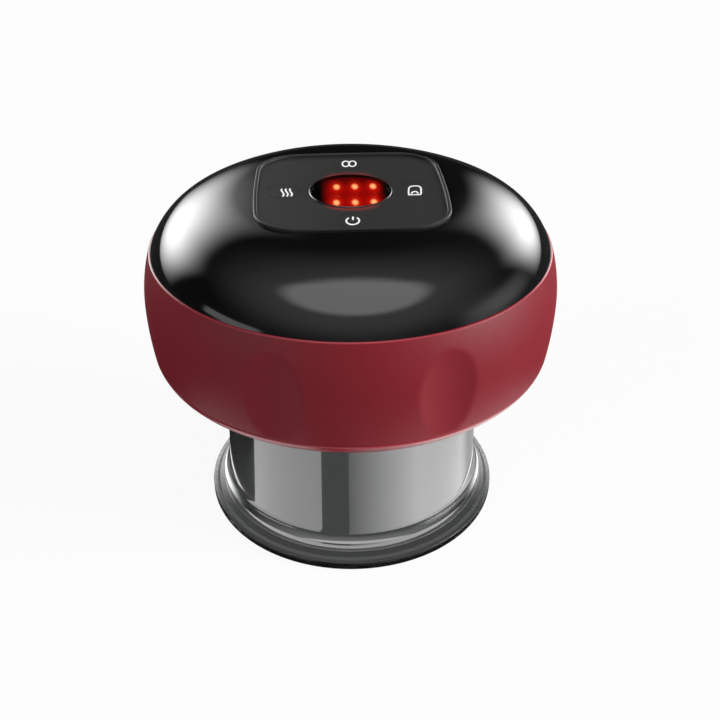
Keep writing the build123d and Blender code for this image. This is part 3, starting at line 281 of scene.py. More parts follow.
finishes = {
    "red_shell": mouldedFinish("softRed", (0.158, 0.0045, 0.011), 0.5, grain=(5200.0, 0.22), patch=40.0,
                               Specular_IOR_Level=0.32),
    "black_gloss": mouldedFinish("glossBlack", (0.004, 0.004, 0.0045), 0.07, drift=0.3, glossDrift=0.03,
                                 grain=(900.0, 0.02), patch=30.0, IOR=1.52),
    "panel_matte": panelFinish("panelMatte")[0],
    "dark_window": mouldedFinish("darkWindow", (0.22, 0.2, 0.2), 0.03, drift=0.05, glossDrift=0.02,
                                 grain=(200.0, 0.004), patch=120.0,
                                 Transmission_Weight=1.0, IOR=1.35, Specular_IOR_Level=0.25),
    "smoke_plastic": cupFinish(),
    "dark_plastic": mouldedFinish("darkPlastic", (0.02, 0.02, 0.021), 0.4),
    "white_plastic": mouldedFinish("whitePlastic", (0.7, 0.7, 0.67), 0.45),
    "clear_guide": mouldedFinish("clearGuide", (0.85, 0.6, 0.6), 0.25, Transmission_Weight=0.85, IOR=1.49),
    "red_light": mouldedFinish("redLight", (0.8, 0.08, 0.03), 0.2,
                               Emission_Color=(1, 0.1, 0.03, 1), Emission_Strength=0.6),
    "circuit_board": mouldedFinish("circuitBoard", (0.015, 0.11, 0.04), 0.35, patch=400.0, drift=0.4),
    "chip_black": mouldedFinish("chipBlack", (0.018, 0.018, 0.018), 0.5),
    "silicone": mouldedFinish("silicone", (0.55, 0.55, 0.54), 0.45, Subsurface_Weight=0.1),
    "foam": mouldedFinish("foam", (0.12, 0.12, 0.12), 0.9, grain=(1800.0, 1.0)),
    "film": mouldedFinish("film", (0.62, 0.3, 0.06), 0.3),
    "cell_sleeve": mouldedFinish("cellSleeve", (0.03, 0.12, 0.4), 0.3),
    "plate_aluminium": metalFinish("plateAluminium", (0.78, 0.78, 0.79), 0.22, 0.4, stretch=(18.0, 1.0, 1.0)),
    "steel": metalFinish("plainSteel", (0.55, 0.55, 0.56), 0.18, 0.35),
    "magnet": metalFinish("platedMagnet", (0.5, 0.5, 0.5), 0.15, 0.25, stretch=(1.0, 1.0, 1.0)),
    "brass": metalFinish("turnedBrass", (0.72, 0.5, 0.2), 0.2, 0.35, stretch=(25.0, 1.0, 1.0)),
}
lightDiffuser = lightFinish()
# white ink with a faint painted glow that makes it brighter than the lamps light it
glowingInkFinish = mouldedFinish("whiteInk", (0.86, 0.86, 0.86), 0.5, Emission_Color=(1, 1, 1, 1), Emission_Strength=0.25)
# a glossier red, painted lighter than the soft red: a painted highlight on the bottom cover and the wall's top edge
glossRed = mouldedFinish("glossRed", (0.24, 0.008, 0.018), 0.3, grain=(5200.0, 0.1), patch=40.0)
lensEdge = mouldedFinish("lensEdge", (0.006, 0.006, 0.006), 0.2)
print("finishes made:", len(finishes))

for nodeName, nodeObject in nodes.items():
    nodeObject.data.materials.clear()
    nodeObject.data.materials.append(finishes[slotOf[nodeName]])


# Meshes

def newObject(name, data):
    made = bpy.data.objects.new(name, data)
    scene.collection.objects.link(made)
    return made


def plainMesh(carrier):
    # the mesh that an object's modifiers make
    return bpy.data.meshes.new_from_object(carrier.evaluated_get(bpy.context.evaluated_depsgraph_get()))


def addPiece(name, mesh, body, slotName, material=None, replaced=(), sharp=40):
    # a finished piece: it sits at the origin, rides on its body and may stand for CAD nodes;
    # it is shaded smooth, with edges sharper than the angle kept crisp
    piece = newObject(name, mesh)
    mesh.shade_smooth()
    mesh.set_sharp_from_angle(angle=math.radians(sharp))
    mesh.materials.clear()
    mesh.materials.append(material or finishes[slotName])
    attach(piece, body)
    if replaced:
        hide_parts(*replaced)


def smoothCopy(nodeName, material=None):
    # the CAD node's own shape, merged so that its round faces shade smoothly
    mesh = nodes[nodeName].data.copy()
    work = bmesh.new()
    work.from_mesh(mesh)
    bmesh.ops.remove_doubles(work, verts=work.verts, dist=1e-7)
    bmesh.ops.dissolve_degenerate(work, edges=work.edges, dist=1e-8)
    work.to_mesh(mesh)
    work.free()
    if "custom_normal" in mesh.attributes:
        mesh.attributes.remove(mesh.attributes["custom_normal"])
    addPiece(nodeName + "_smooth", mesh, bodyOf[nodeName], slotOf[nodeName], material, (nodeName,), sharp=35)


shownRound = ["top_cover", "bottom_cover", "cup_collar", "light_cover", "heater_plate", "filter_cap",
              "cup_seal", "cup_ring", "charge_socket", "power_key", "mode_key", "heat_key", "suction_key"]
for nodeName in shownRound:
    # the bottom cover takes the glossier red, painted lighter as a highlight
    smoothCopy(nodeName, glossRed if nodeName == "bottom_cover" else None)
print("smooth pieces:", len(shownRound))


# Outlines

def turned(vector, angle):
    return Vector((vector.x * math.cos(angle) - vector.y * math.sin(angle),
                   vector.x * math.sin(angle) + vector.y * math.cos(angle)))


def tangentArc(start, end, tangent, count):
    # points after start of the arc that leaves it along the tangent and stops at end, and the tangent there
    start, end, tangent = Vector(start), Vector(end), Vector(tangent).normalized()
    side = Vector((-tangent.y, tangent.x))
    chord = end - start
    radius = chord.length_squared / (2 * chord.dot(side))
    centre = start + side * radius
    arm = start - centre
    sweep = 2 * math.atan2(chord.dot(side), chord.dot(tangent))
    points = [tuple(centre + turned(arm, sweep * step / count)) for step in range(1, count + 1)]
    return points, turned(tangent, sweep)


def roundCorner(before, corner, after, radius, count=6):
    # a corner of an outline, rounded
    before, corner, after = Vector(before), Vector(corner), Vector(after)
    back, ahead = (before - corner).normalized(), (after - corner).normalized()
    half = back.angle(ahead) / 2
    reach = radius / math.tan(half)
    first = corner + back * reach
    arc, _ = tangentArc(first, corner + ahead * reach, -back, count)
    return [tuple(first)] + arc


def arcPoints(centre, radius, fromAngle, toAngle, steps):
    # points of an ellipse's arc; angles in degrees, anticlockwise from +X
    points = []
    for step in range(steps + 1):
        angle = math.radians(fromAngle + (toAngle - fromAngle) * step / steps)
        points.append((centre[0] + radius[0] * math.cos(angle), centre[1] + radius[1] * math.sin(angle)))
    return points


def rectangle(wide, deep):
    x, y = wide / 2, deep / 2
    return [(-x, -y), (x, -y), (x, y), (-x, y)]


# Solids from outlines

def turnedPoint(radius, height, angle):
    return radius * mm * math.cos(angle), radius * mm * math.sin(angle), height * mm


def joinRings(work, rings, closed=True):
    # faces between neighbouring rings of points, and from the last ring to the first if closed
    for here, there in zip(rings, rings[1:] + rings[:1] if closed else rings[1:]):
        for index in range(len(here)):
            after = (index + 1) % len(here)
            work.faces.new((here[index], there[index], there[after], here[after]))


def meshFrom(work, name):
    # the finished work as a mesh, its faces outwards
    bmesh.ops.recalc_face_normals(work, faces=work.faces)
    mesh = bpy.data.meshes.new(name)
    work.to_mesh(mesh)
    work.free()
    return mesh


def turnMesh(name, outline, steps, move=None):
    # turns a closed outline of radius and height round Z; move may shift a point at its angle
    work = bmesh.new()
    rings = []
    for step in range(steps):
        angle = 2 * math.pi * step / steps
        points = [move(*point, angle) for point in outline] if move else outline
        rings.append([work.verts.new(turnedPoint(*point, angle)) for point in points])
    joinRings(work, rings)
    bmesh.ops.remove_doubles(work, verts=work.verts, dist=1e-8)
    return meshFrom(work, name)


def prism(name, ring, place, low, high, depthwise=False):
    # closed prism over a ring of points, upright or pointing to the back
    work = bmesh.new()
    rings = []
    for level in (low, high):
        points = [((place[0] + a) * mm, (place[1] + b) * mm) for a, b in ring]
        rings.append([work.verts.new((x, level * mm, y) if depthwise else (x, y, level * mm)) for x, y in points])
    work.faces.new(rings[0])
    work.faces.new(rings[1][::-1])
    joinRings(work, rings, closed=False)
    return meshFrom(work, name)


def cutThrough(mesh, cutters):
    # takes closed cutter meshes out of a mesh
    carrier = newObject("carrier", mesh)
    tools = [newObject("cutter", cutter) for cutter in cutters]
    for tool in tools:
        cut = carrier.modifiers.new("cut", "BOOLEAN")
        cut.operation, cut.solver, cut.object = "DIFFERENCE", "EXACT", tool
    done = plainMesh(carrier)
    for item in tools + [carrier]:
        bpy.data.objects.remove(item)
    return done


# Gloss skin of the dome: a finely divided coat over the moulded cover, open where the key panel sits

domeLook = {
    "radius": 42.75, "seam": 64.8, "rise": 11.7, "seamGap": 0.02,
    "crownShares": (0.561, 0.932), "shoulderShares": (0.833, 0.664), "curveSteps": (60, 40, 60),
    "coat": 0.04, "depth": 0.25,
    "panelReach": 20.3, "panelFront": 19.85, "panelBulge": 0.8, "panelCorner": 9.0, "panelGap": 0.1,
    "steps": 360, "rows": 60,
}


def domeCurve():
    # half section of the dome from the middle to the seam
    look = domeLook
    radius, seam, rise = look["radius"], look["seam"], look["rise"]
    crownEnd, shoulder = [(radius * out, seam + rise * up) for out, up in (look["crownShares"], look["shoulderShares"])]
    ends = [(0, seam + rise), crownEnd, shoulder, (radius, seam)]
    points, tangent = ends[:1], (1, 0)
    for start, end, count in zip(ends, ends[1:], look["curveSteps"]):
        arc, tangent = tangentArc(start, end, tangent, count)
        points += arc
    return points


def panelRadiusAt(angle, grow=0.0):
    # distance from the middle to the panel's outline: bulging sides and round corners
    look = domeLook
    front = max(-math.sin(angle), 0.0) ** 2
    reach = look["panelReach"] + (look["panelFront"] - look["panelReach"]) * front + grow
    bulge, corner = look["panelBulge"], look["panelCorner"] + grow
    side = ((reach - bulge) ** 2 + bulge ** 2) / (2 * bulge)  # radius of a bulging side
    back = side - reach
    middle = (math.sqrt(2 * (side - corner) ** 2 - back ** 2) - back) / 2  # centre of the round corner
    ahead, aside = sorted((abs(math.cos(angle)), abs(math.sin(angle))), reverse=True)
    turn = math.atan2(side * middle / (side - corner), side * (middle + back) / (side - corner) - back)
    if math.atan2(aside, ahead) < turn:
        return math.sqrt(side ** 2 - (back * aside) ** 2) - back * ahead
    along = middle * (ahead + aside)
    return along + math.sqrt(along ** 2 - 2 * middle ** 2 + corner ** 2)


def domeSkin():
    look = domeLook
    curve = [Vector(point) for point in domeCurve()]
    lengths = [0.0]
    for first, second in zip(curve, curve[1:]):
        lengths.append(lengths[-1] + (second - first).length)

    def along(length):
        # point and outward normal at a length along the curve
        index = 0
        while index < len(curve) - 2 and lengths[index + 1] < length:
            index += 1
        share = (length - lengths[index]) / (lengths[index + 1] - lengths[index])
        run = (curve[index + 1] - curve[index]).normalized()
        return curve[index].lerp(curve[index + 1], share), Vector((-run.y, run.x))

    def lengthAt(radius):
        index = 0
        while curve[index + 1].x < radius:
            index += 1
        share = (radius - curve[index].x) / (curve[index + 1].x - curve[index].x)
        return lengths[index] + share * (lengths[index + 1] - lengths[index])

    work = bmesh.new()
    rings = []
    for step in range(look["steps"]):
        angle = 2 * math.pi * step / look["steps"]
        first = lengthAt(panelRadiusAt(angle, look["panelGap"]))
        outer, inner = [], []
        for row in range(look["rows"] + 1):
            point, normal = along(first + (lengths[-1] - first) * row / look["rows"])
            for side, shift in ((outer, look["coat"]), (inner, -look["depth"])):
                moved = point + normal * shift
                height = max(moved.y, look["seam"] + look["seamGap"])
                side.append(work.verts.new(turnedPoint(moved.x, height, angle)))
        rings.append(outer + inner[::-1])
    joinRings(work, rings)
    addPiece("dome_skin", meshFrom(work, "domeSkin"), "housing", "black_gloss")


domeSkin()


# Key panel: a shallow tray with a low raised rim, holed for the keys and the window

panelLook = {
    "top": 76.4, "field": 75.9, "bottom": 74.1, "rimWidth": 0.8, "rimRound": 0.2, "rimFoot": 0.05,
    "windowRadius": 8.9, "windowShift": -0.4,
    # the spill is the window's red light, painted on the panel as a faint glow
    "spill": 0.2, "spillReach": 2.2, "spillWidth": (3.5, 6.5), "spillColour": (1, 0.02, 0.01, 1),
    "keyRadius": 3.6, "keyPlaces": ((0, -15), (0, 15), (-14, 0), (14, 0)), "keySides": 72, "cutPast": 1,
    "steps": 288,
}


def windowEdgeAt(radius, angle):
    # distance from the middle of the panel to a circle round the middle of the window
    shift = panelLook["windowShift"]
    return shift * math.sin(angle) + math.sqrt(radius ** 2 - (shift * math.cos(angle)) ** 2)


def litPanelFinish():
    # the panel's finish, with the window's red light spilling over its edge painted on as a faint red glow
    look = panelLook
    material, tree, shader = panelFinish("litPanel")
    x, y, _ = split(tree, placeOn(tree))
    away = distance(tree, x, calc(tree, "SUBTRACT", y, look["windowShift"] * mm))
    near = smoothMask(tree, away, look["windowRadius"] * mm, (look["windowRadius"] + look["spillReach"]) * mm)
    full, none = look["spillWidth"]
    middle = smoothMask(tree, calc(tree, "ABSOLUTE", x), full * mm, none * mm)
    spill = calc(tree, "MULTIPLY", calc(tree, "MULTIPLY", near, near), calc(tree, "MULTIPLY", middle, look["spill"]))
    feed(tree, shader, {"Emission Strength": spill, "Emission Color": look["spillColour"]})
    return material


def keyPanel():
    look = panelLook
    inner, top, field, bottom = -look["rimWidth"], look["top"], look["field"], look["bottom"]
    # a radius up to 0 is measured from the panel's outline, others from the middle of the window
    outline = [(look["windowRadius"], bottom), (look["windowRadius"], field), (inner - look["rimFoot"], field)]
    outline += roundCorner((inner, field), (inner, top), (0, top), look["rimRound"], count=4)
    outline += roundCorner((inner, top), (0, top), (0, bottom), look["rimRound"], count=4)
    outline += [(0, bottom)]

    def spread(radius, height, angle):
        return panelRadiusAt(angle, radius) if radius <= 0 else windowEdgeAt(radius, angle), height

    sides = look["keySides"]
    circle = arcPoints((0, 0), (look["keyRadius"],) * 2, 0, 360 - 360 / sides, sides - 1)
    holes = [prism("keyHole", circle, place, bottom - look["cutPast"], top + look["cutPast"])
             for place in look["keyPlaces"]]
    mesh = cutThrough(turnMesh("keyPanel", outline, look["steps"], spread), holes)
    addPiece("panel_tray", mesh, "housing", "panel_matte", litPanelFinish(), ("key_panel",))


keyPanel()


# Red side wall, with the finger scoops worn soft at their edges, and the slot for the charging inlet

wallLook = {
    "radius": 45.0, "widest": 53.3, "sideCurve": 76.0, "seam": 64.8, "seamRadius": 43.1,
    "parting": 41.8, "groove": 0.4, "wall": 2.2, "innerBend": 0.0144, "rimRound": 0.4,
    # the band of the top edge that takes the lighter red as a painted highlight
    "highlightEdge": 0.4, "highlightTilt": 0.2,
    "scoopDepth": 1.3, "scoopRadius": 21.0, "scoopLong": 120.0, "scoopHeight": 51.8,
    "scoopAngles": (248.0, 292.0, 68.0, 112.0), "scoopSoftness": 0.22, "scoopHalf": 0.5,
    "innerGuard": 0.1, "rimGuard": 0.6,
    "slotHeight": 48.5, "slotWidth": 9.24, "slotTall": 3.56, "slotFrom": 38, "slotTo": 48, "slotSteps": 20,
    "rows": 56, "shoulderRows": 40, "innerRows": 20, "steps": 540,
}


def sideRadiusAt(height):
    look = wallLook
    drop = look["widest"] - height
    return look["radius"] - look["sideCurve"] + math.sqrt(look["sideCurve"] ** 2 - drop ** 2)


def scoopedRadius(radius, height, angle):
    # the nearer of the wall and the scoop's barrel, blended where they meet
    look = wallLook
    if radius < look["radius"] - look["wall"] + look["innerGuard"] or height > look["seam"] - look["rimGuard"]:
        return radius, height  # inner wall and rim stay round
    axis = look["radius"] - look["scoopDepth"] + look["scoopRadius"]
    rise = height - look["scoopHeight"]
    barrel = look["scoopRadius"] - look["scoopLong"] + math.sqrt(look["scoopLong"] ** 2 - rise ** 2)
    for scoop in look["scoopAngles"]:
        away = abs((angle - math.radians(scoop) + math.pi) % (2 * math.pi) - math.pi)
        if away > look["scoopHalf"] or barrel <= axis * math.sin(away):
            continue
        reach = axis * math.cos(away) - math.sqrt(barrel ** 2 - (axis * math.sin(away)) ** 2)
        soft = look["scoopSoftness"]
        blend = max(soft - abs(radius - reach), 0.0) / soft
        radius = min(radius, reach) - blend * blend * soft / 4
    return radius, height


def redWall():
    look = wallLook
    parting, widest, seam, wall = look["parting"], look["widest"], look["seam"], look["wall"]
    outer = [(sideRadiusAt(parting) - look["groove"], parting)]
    for row in range(look["rows"] + 1):
        height = parting + look["groove"] + (widest - parting - look["groove"]) * row / look["rows"]
        outer.append((sideRadiusAt(height), height))
    upper, _ = tangentArc((look["radius"], widest), (look["seamRadius"], seam), (0, 1), look["shoulderRows"])
    rim = roundCorner(upper[-2], upper[-1], (look["seamRadius"] - wall, seam), look["rimRound"])
    outer += [point for point in upper if point[1] < rim[0][1]] + rim
    inner = [(look["seamRadius"] - wall, seam)]
    for row in range(look["innerRows"] + 1):
        height = seam - wall - (seam - wall - parting) * row / look["innerRows"]
        bend = (height - widest) ** 2 * look["innerBend"]
        inner.append(((sideRadiusAt(height) if height < widest else look["radius"] - bend) - wall, height))
    half, tall = (look["slotWidth"] - look["slotTall"]) / 2, look["slotTall"] / 2
    slot = arcPoints((half, 0), (tall, tall), -90, 90, look["slotSteps"])
    slot += arcPoints((-half, 0), (tall, tall), 90, 270, look["slotSteps"])
    cutter = prism("slot", slot, (0, look["slotHeight"]), look["slotFrom"], look["slotTo"], depthwise=True)
    mesh = cutThrough(turnMesh("redWall", outer + inner, look["steps"], scoopedRadius), [cutter])
    addPiece("red_wall", mesh, "housing", "red_shell", replaced=("lower_housing",))
    mesh.materials.append(glossRed)  # the top edge, glossier and painted a lighter red as a highlight
    edge = (seam - look["highlightEdge"]) * mm
    for face in mesh.polygons:
        face.material_index = int(face.center.z > edge and face.normal.z > look["highlightTilt"])


redWall()
print("dome skin, key panel and red wall made")


# Cup: straight wall, flared foot and flat rim flange

cupSizes = {
    "height": 41.6, "topRadius": 28.6, "footRadius": 29.75, "footHeight": 7.5, "wall": 2.4,
    "shoulderRadius": 31.2, "shoulderHeight": 5.0, "shelfHeight": 2.9, "shelfRound": 0.25,
    "rimRadius": 34.2, "rimHeight": 2.0, "mouthRadius": 28.75, "edgeRound": 0.5, "bellEnd": 0.6,
    "ringRadii": (26.65, 28.15), "ringDepth": 0.8,
    "flareSteps": 12, "bellSteps": 14, "steps": 256,
}


def cupPiece():
    size = cupSizes
    edgeRound, height = size["edgeRound"], size["height"]
    top, foot = (size["topRadius"], height), (size["footRadius"], size["footHeight"])
    down = (foot[0] - top[0], foot[1] - top[1])
    flare, _ = tangentArc(foot, (size["shoulderRadius"], size["shoulderHeight"]), down, size["flareSteps"])
    shelf = (size["shoulderRadius"], size["shelfHeight"])
    rimTop, rimFoot = (size["rimRadius"], size["rimHeight"]), (size["rimRadius"], 0)
    innerTop, innerFoot = (top[0] - size["wall"], top[1]), (foot[0] - size["wall"], foot[1])
    mouth = (size["mouthRadius"], 0)
    bell, _ = tangentArc(innerFoot, mouth, down, size["bellSteps"])
    outline = [top, foot] + flare + roundCorner(flare[-1], shelf, rimTop, size["shelfRound"], count=4)
    outline += roundCorner(shelf, rimTop, rimFoot, edgeRound) + roundCorner(rimTop, rimFoot, mouth, edgeRound)
    outline += roundCorner(rimFoot, mouth, bell[-2], edgeRound)[:-1]
    outline += [point for point in bell[::-1] if point[1] > size["bellEnd"]] + [innerFoot, innerTop]
    ringInner, ringOuter = size["ringRadii"]  # groove for the steel ring
    grooveFloor = height - size["ringDepth"]
    outline += [(ringInner, height), (ringInner, grooveFloor), (ringOuter, grooveFloor), (ringOuter, height)]
    mesh = turnMesh("cupBody", outline, size["steps"])
    addPiece("cup_body", mesh, "cup", "smoke_plastic", replaced=("cup",), sharp=30)


cupPiece()


# Window: a polished lens, proud of the panel by a hair, over the lit diffuser

lensSizes = {
    "radius": 8.8, "top": 76.15, "edgeRound": 0.3, "flange": 9.25, "flangeTop": 74.05, "bottom": 73.6,
    "diffuserRadius": 8.7, "diffuserTop": 73.55, "diffuserBottom": 73.35, "printedTilt": 0.93, "steps": 128,
}


def windowPieces():
    size = lensSizes
    radius, bottom, flangeTop = size["radius"], size["bottom"], size["flangeTop"]
    edge, top = (radius, size["top"]), (0, size["top"])
    outline = [(0, bottom), (size["flange"], bottom), (size["flange"], flangeTop), (radius, flangeTop)]
    outline += roundCorner((radius, flangeTop), edge, top, size["edgeRound"], count=8) + [top]

    def shifted(radius, height, angle):
        return (windowEdgeAt(radius, angle) if size["flange"] > radius > 0 else radius), height

    lens = turnMesh("windowLens", outline, size["steps"], shifted)
    addPiece("window_lens", lens, "housing", "dark_window", replaced=("display_lens",))
    lens.materials.append(lensEdge)  # the edge is printed black
    for face in lens.polygons:
        face.material_index = int(face.normal.z < size["printedTilt"] and face.center.z > flangeTop * mm)
    low, high, reach = size["diffuserBottom"], size["diffuserTop"], size["diffuserRadius"]
    disc = turnMesh("lightDiffuser", [(0, low), (reach, low), (reach, high), (0, high)], size["steps"])
    addPiece("light_diffuser", disc, "housing", "dark_window", lightDiffuser, replaced=("display_lens",))


windowPieces()
print("cup and window made")


# Geometry Nodes: each tree is fed through named inputs and gives back a plain mesh

def endTree(tree, end, made, material):
    realized = addNode(tree, "GeometryNodeRealizeInstances", {0: made}).outputs[0]
    painted = addNode(tree, "GeometryNodeSetMaterial", {"Geometry": realized, "Material": material}).outputs[0]
    feed(tree, end, {"Geometry": painted})
    return tree


def meshFromTree(name, carrier, tree, values):
    # runs a tree on a mesh
    holder = newObject(name + "Carrier", carrier)
    modifier = holder.modifiers.new(name, "NODES")
    modifier.node_group = tree
    for item in tree.interface.items_tree:
        if item.item_type == "SOCKET" and item.in_out == "INPUT" and item.name in values:
            modifier[item.identifier] = values[item.name]
    mesh = plainMesh(holder)
    holder.modifiers.clear()
    bpy.data.objects.remove(holder)
    return mesh


# Icons: white ink lines on the keys, each a flat ribbon along a path

iconLook = {
    "lineWidth": 0.36, "lineThickness": 0.03, "lineSides": 12, "curveSteps": 40, "stretch": 1.6,
    "places": {  # the middle, and the lean to the side
        "power": (-0.2, -15.1, 0.05), "mode": (0.35, 14.8, 0.045),
        "heat": (-13.35, -0.6, -0.02), "suction": (13.5, -0.75, 0.1),
    },
    "powerRing": ((0, -0.05), (1.28, 1.1), 128, 412), "powerBar": ((0.02, 0.2), (0.02, 1.15)),
    "modeMiddle": 0.74, "modeRadius": (0.76, 1.0),
    "heatStroke": ((-0.13, 1.3), (-0.24, 0.8), (-0.05, 0.3), (0.22, -0.3), (0.26, -0.65), (0.0, -1.25)),
    "heatShifts": (-0.87, 0, 0.87),
    "domeSide": 1.3, "domeBase": -1.45, "domeBend": 0.7, "domeFoot": (0.15, 0.2), "domeSpring": 0.1, "domeRise": 1.35,
    "skin": ((0.72, 0.85), 10, 170),
}


def inkTree():
    # a flat rounded line of ink along every edge of the path
    tree, given, end = makeGroup(
        "inkLine", {"Geometry": "Geometry", "Width": 0.0003, "Thickness": 0.00003, "Ink": "Material"},
        {"Geometry": "Geometry"}, "GeometryNodeTree")
    path = addNode(tree, "GeometryNodeMeshToCurve", {0: given["Geometry"]})
    circle = addNode(tree, "GeometryNodeCurvePrimitiveCircle", {"Resolution": iconLook["lineSides"], "Radius": 0.5})
    size = addNode(tree, "ShaderNodeCombineXYZ", {"X": given["Width"], "Y": given["Thickness"], "Z": 1.0})
    flat = addNode(tree, "GeometryNodeTransform", {"Geometry": circle.outputs["Curve"], "Scale": size.outputs[0]})
    line = addNode(tree, "GeometryNodeCurveToMesh", {"Curve": path.outputs[0], "Fill Caps": True,
                                                     "Profile Curve": flat.outputs["Geometry"]})
    return endTree(tree, end, line.outputs[0], given["Ink"])


def powerPaths():
    # open ring with a bar in its gap
    return [arcPoints(*iconLook["powerRing"], iconLook["curveSteps"]), iconLook["powerBar"]]


def modePaths():
    # lying eight: two round loops that touch
    middle, radius = iconLook["modeMiddle"], iconLook["modeRadius"]
    return [arcPoints((side * middle, 0), radius, 0, 360, iconLook["curveSteps"]) for side in (-1, 1)]


def heatPaths():
    # three strokes side by side, each down to the right, back and down again
    corners, steps = iconLook["heatStroke"], iconLook["curveSteps"]
    stroke = []
    for step in range(steps + 1):
        place = step / steps * (len(corners) - 1)
        index = min(int(place), len(corners) - 2)
        (x, y), (nextX, nextY) = corners[index], corners[index + 1]
        stroke.append((x + (nextX - x) * (place - index), y + (nextY - y) * (place - index)))
    return [[(shift + x, y) for x, y in stroke] for shift in iconLook["heatShifts"]]


def suctionPaths():
    # a cup over skin that rises into it
    look = iconLook
    side, base, bend, spring = look["domeSide"], look["domeBase"], look["domeBend"], look["domeSpring"]
    inset, lift = look["domeFoot"]
    dome = [(-side + inset, base), (side - inset, base), (side, base + lift), (side, spring)]
    for x, y in arcPoints((0, 0), (1, 1), 0, 180, look["curveSteps"])[1:]:
        dome.append((math.copysign(abs(x) ** bend, x) * side, spring + look["domeRise"] * abs(y) ** bend))
    dome += [(-side, base + lift), dome[0]]
    return [dome, arcPoints((0, base + lift), *look["skin"], look["curveSteps"] // 2)]


def iconPiece(keyName, paths):
    look = iconLook
    points, edges = [], []
    for path in paths:
        first, count = len(points), len(path) - int(path[0] == path[-1])  # a closed path ends where it starts
        points += [(x * mm, y * mm, 0) for x, y in path[:count]]
        edges += [(first + step, first + (step + 1) % count) for step in range(len(path) - 1)]
    carrier = bpy.data.meshes.new(keyName + "Path")
    carrier.from_pydata(points, edges, [])
    mesh = meshFromTree(keyName + "Icon", carrier, inkLine, {
        "Width": look["lineWidth"] * mm, "Thickness": look["lineThickness"] * mm, "Ink": glowingInkFinish})
    x, y, lean = look["places"][keyName]
    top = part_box(keyName + "_key")[1].z
    leaning = Matrix(((1, lean * look["stretch"], 0, 0), (0, look["stretch"], 0, 0), (0, 0, 1, 0), (0, 0, 0, 1)))
    mesh.transform(Matrix.Translation((x * mm, y * mm, top)) @ leaning)
    addPiece(keyName + "_icon", mesh, keyName + "_key", "panel_matte", glowingInkFinish, sharp=60)


inkLine = inkTree()
iconPiece("power", powerPaths())
iconPiece("mode", modePaths())
iconPiece("heat", heatPaths())
iconPiece("suction", suctionPaths())
print("icons made:", len(iconLook["places"]))


# Screws and lights in a ring, one of each made and the rest set round by Geometry Nodes

ringLook = {
    "screwCircle": 36.008, "screwPlaces": 6, "screwTurn": -120, "screwGap": 3,
    "headRadius": 2.3, "headBase": 38.6, "seat": 39.8, "shank": 1.25, "tip": 51.8, "headEdge": 0.4, "screwSteps": 48,
    "crossWidth": 0.55, "crossLength": 2.4, "crossDepth": 0.7, "cutPast": 1,
    "lightCircle": 17.8, "lightPlaces": 12, "lightSize": 2.4, "lightBase": 40.3, "lightTop": 41.1,
    "wellRadius": 0.85, "wellDepth": 0.3, "wellSides": 24,
}


def ringTree():
    # copies of a piece round Z, each turned to face outward; one place in every Gap stays free
    tree, given, end = makeGroup(
        "ringOf",
        {"Geometry": "Geometry", "Places": 12, "Circle": 0.01, "Turn": 0.0, "Gap": 1000, "Finish": "Material"},
        {"Geometry": "Geometry"}, "GeometryNodeTree")
    circle = addNode(tree, "GeometryNodeMeshCircle", {"Vertices": given["Places"], "Radius": given["Circle"]})
    turn = addNode(tree, "ShaderNodeCombineXYZ", {"Z": given["Turn"]})
    places = addNode(tree, "GeometryNodeTransform", {"Geometry": circle.outputs[0], "Rotation": turn.outputs[0]})
    x, y, _ = split(tree, addNode(tree, "GeometryNodeInputPosition").outputs[0])
    facing = addNode(tree, "ShaderNodeCombineXYZ", {"Z": calc(tree, "ARCTAN2", y, x)})
    count = calc(tree, "ADD", addNode(tree, "GeometryNodeInputIndex").outputs[0], 1.0)
    filled = calc(tree, "GREATER_THAN", calc(tree, "MODULO", count, given["Gap"]), 0.5)
    placed = addNode(tree, "GeometryNodeInstanceOnPoints", {
        "Points": places.outputs[0], "Selection": filled, "Instance": given["Geometry"], "Rotation": facing.outputs[0]})
    return endTree(tree, end, placed.outputs[0], given["Finish"])


def screwMesh():
    # flat head with a cross recess
    look = ringLook
    head, base, seat = look["headRadius"], look["headBase"], look["seat"]
    outline = [(0, base)] + roundCorner((0, base), (head, base), (head, seat), look["headEdge"])
    outline += [(head, seat), (look["shank"], seat), (look["shank"], look["tip"]), (0, look["tip"])]
    wide, long = look["crossWidth"], look["crossLength"]
    slots = [prism("slot", rectangle(*sides), (0, 0), base - look["cutPast"], base + look["crossDepth"])
             for sides in ((wide, long), (long, wide))]
    return cutThrough(turnMesh("screw", outline, look["screwSteps"]), slots)


def lightMesh():
    # square light with a round well in its underside
    look = ringLook
    base, sides = look["lightBase"], look["wellSides"]
    block = prism("light", rectangle(look["lightSize"], look["lightSize"]), (0, 0), base, look["lightTop"])
    well = arcPoints((0, 0), (look["wellRadius"],) * 2, 0, 360 - 360 / sides, sides - 1)
    return cutThrough(block, [prism("well", well, (0, 0), base - look["cutPast"], base + look["wellDepth"])])


def ringPiece(name, nodeName, source, values):
    finish = finishes[slotOf[nodeName]]
    mesh = meshFromTree(name, source, ringOf, {**values, "Finish": finish})
    addPiece(name, mesh, bodyOf[nodeName], slotOf[nodeName], finish, (nodeName,), sharp=30)


ringOf = ringTree()
ringPiece("screw_ring", "housing_screws", screwMesh(), {
    "Places": ringLook["screwPlaces"], "Circle": ringLook["screwCircle"] * mm,
    "Turn": math.radians(ringLook["screwTurn"]), "Gap": ringLook["screwGap"]})
ringPiece("light_ring", "red_leds", lightMesh(), {
    "Places": ringLook["lightPlaces"], "Circle": ringLook["lightCircle"] * mm})
print("rings made")


# Studio: pale floor, soft light from the world, camera at the photograph's angle

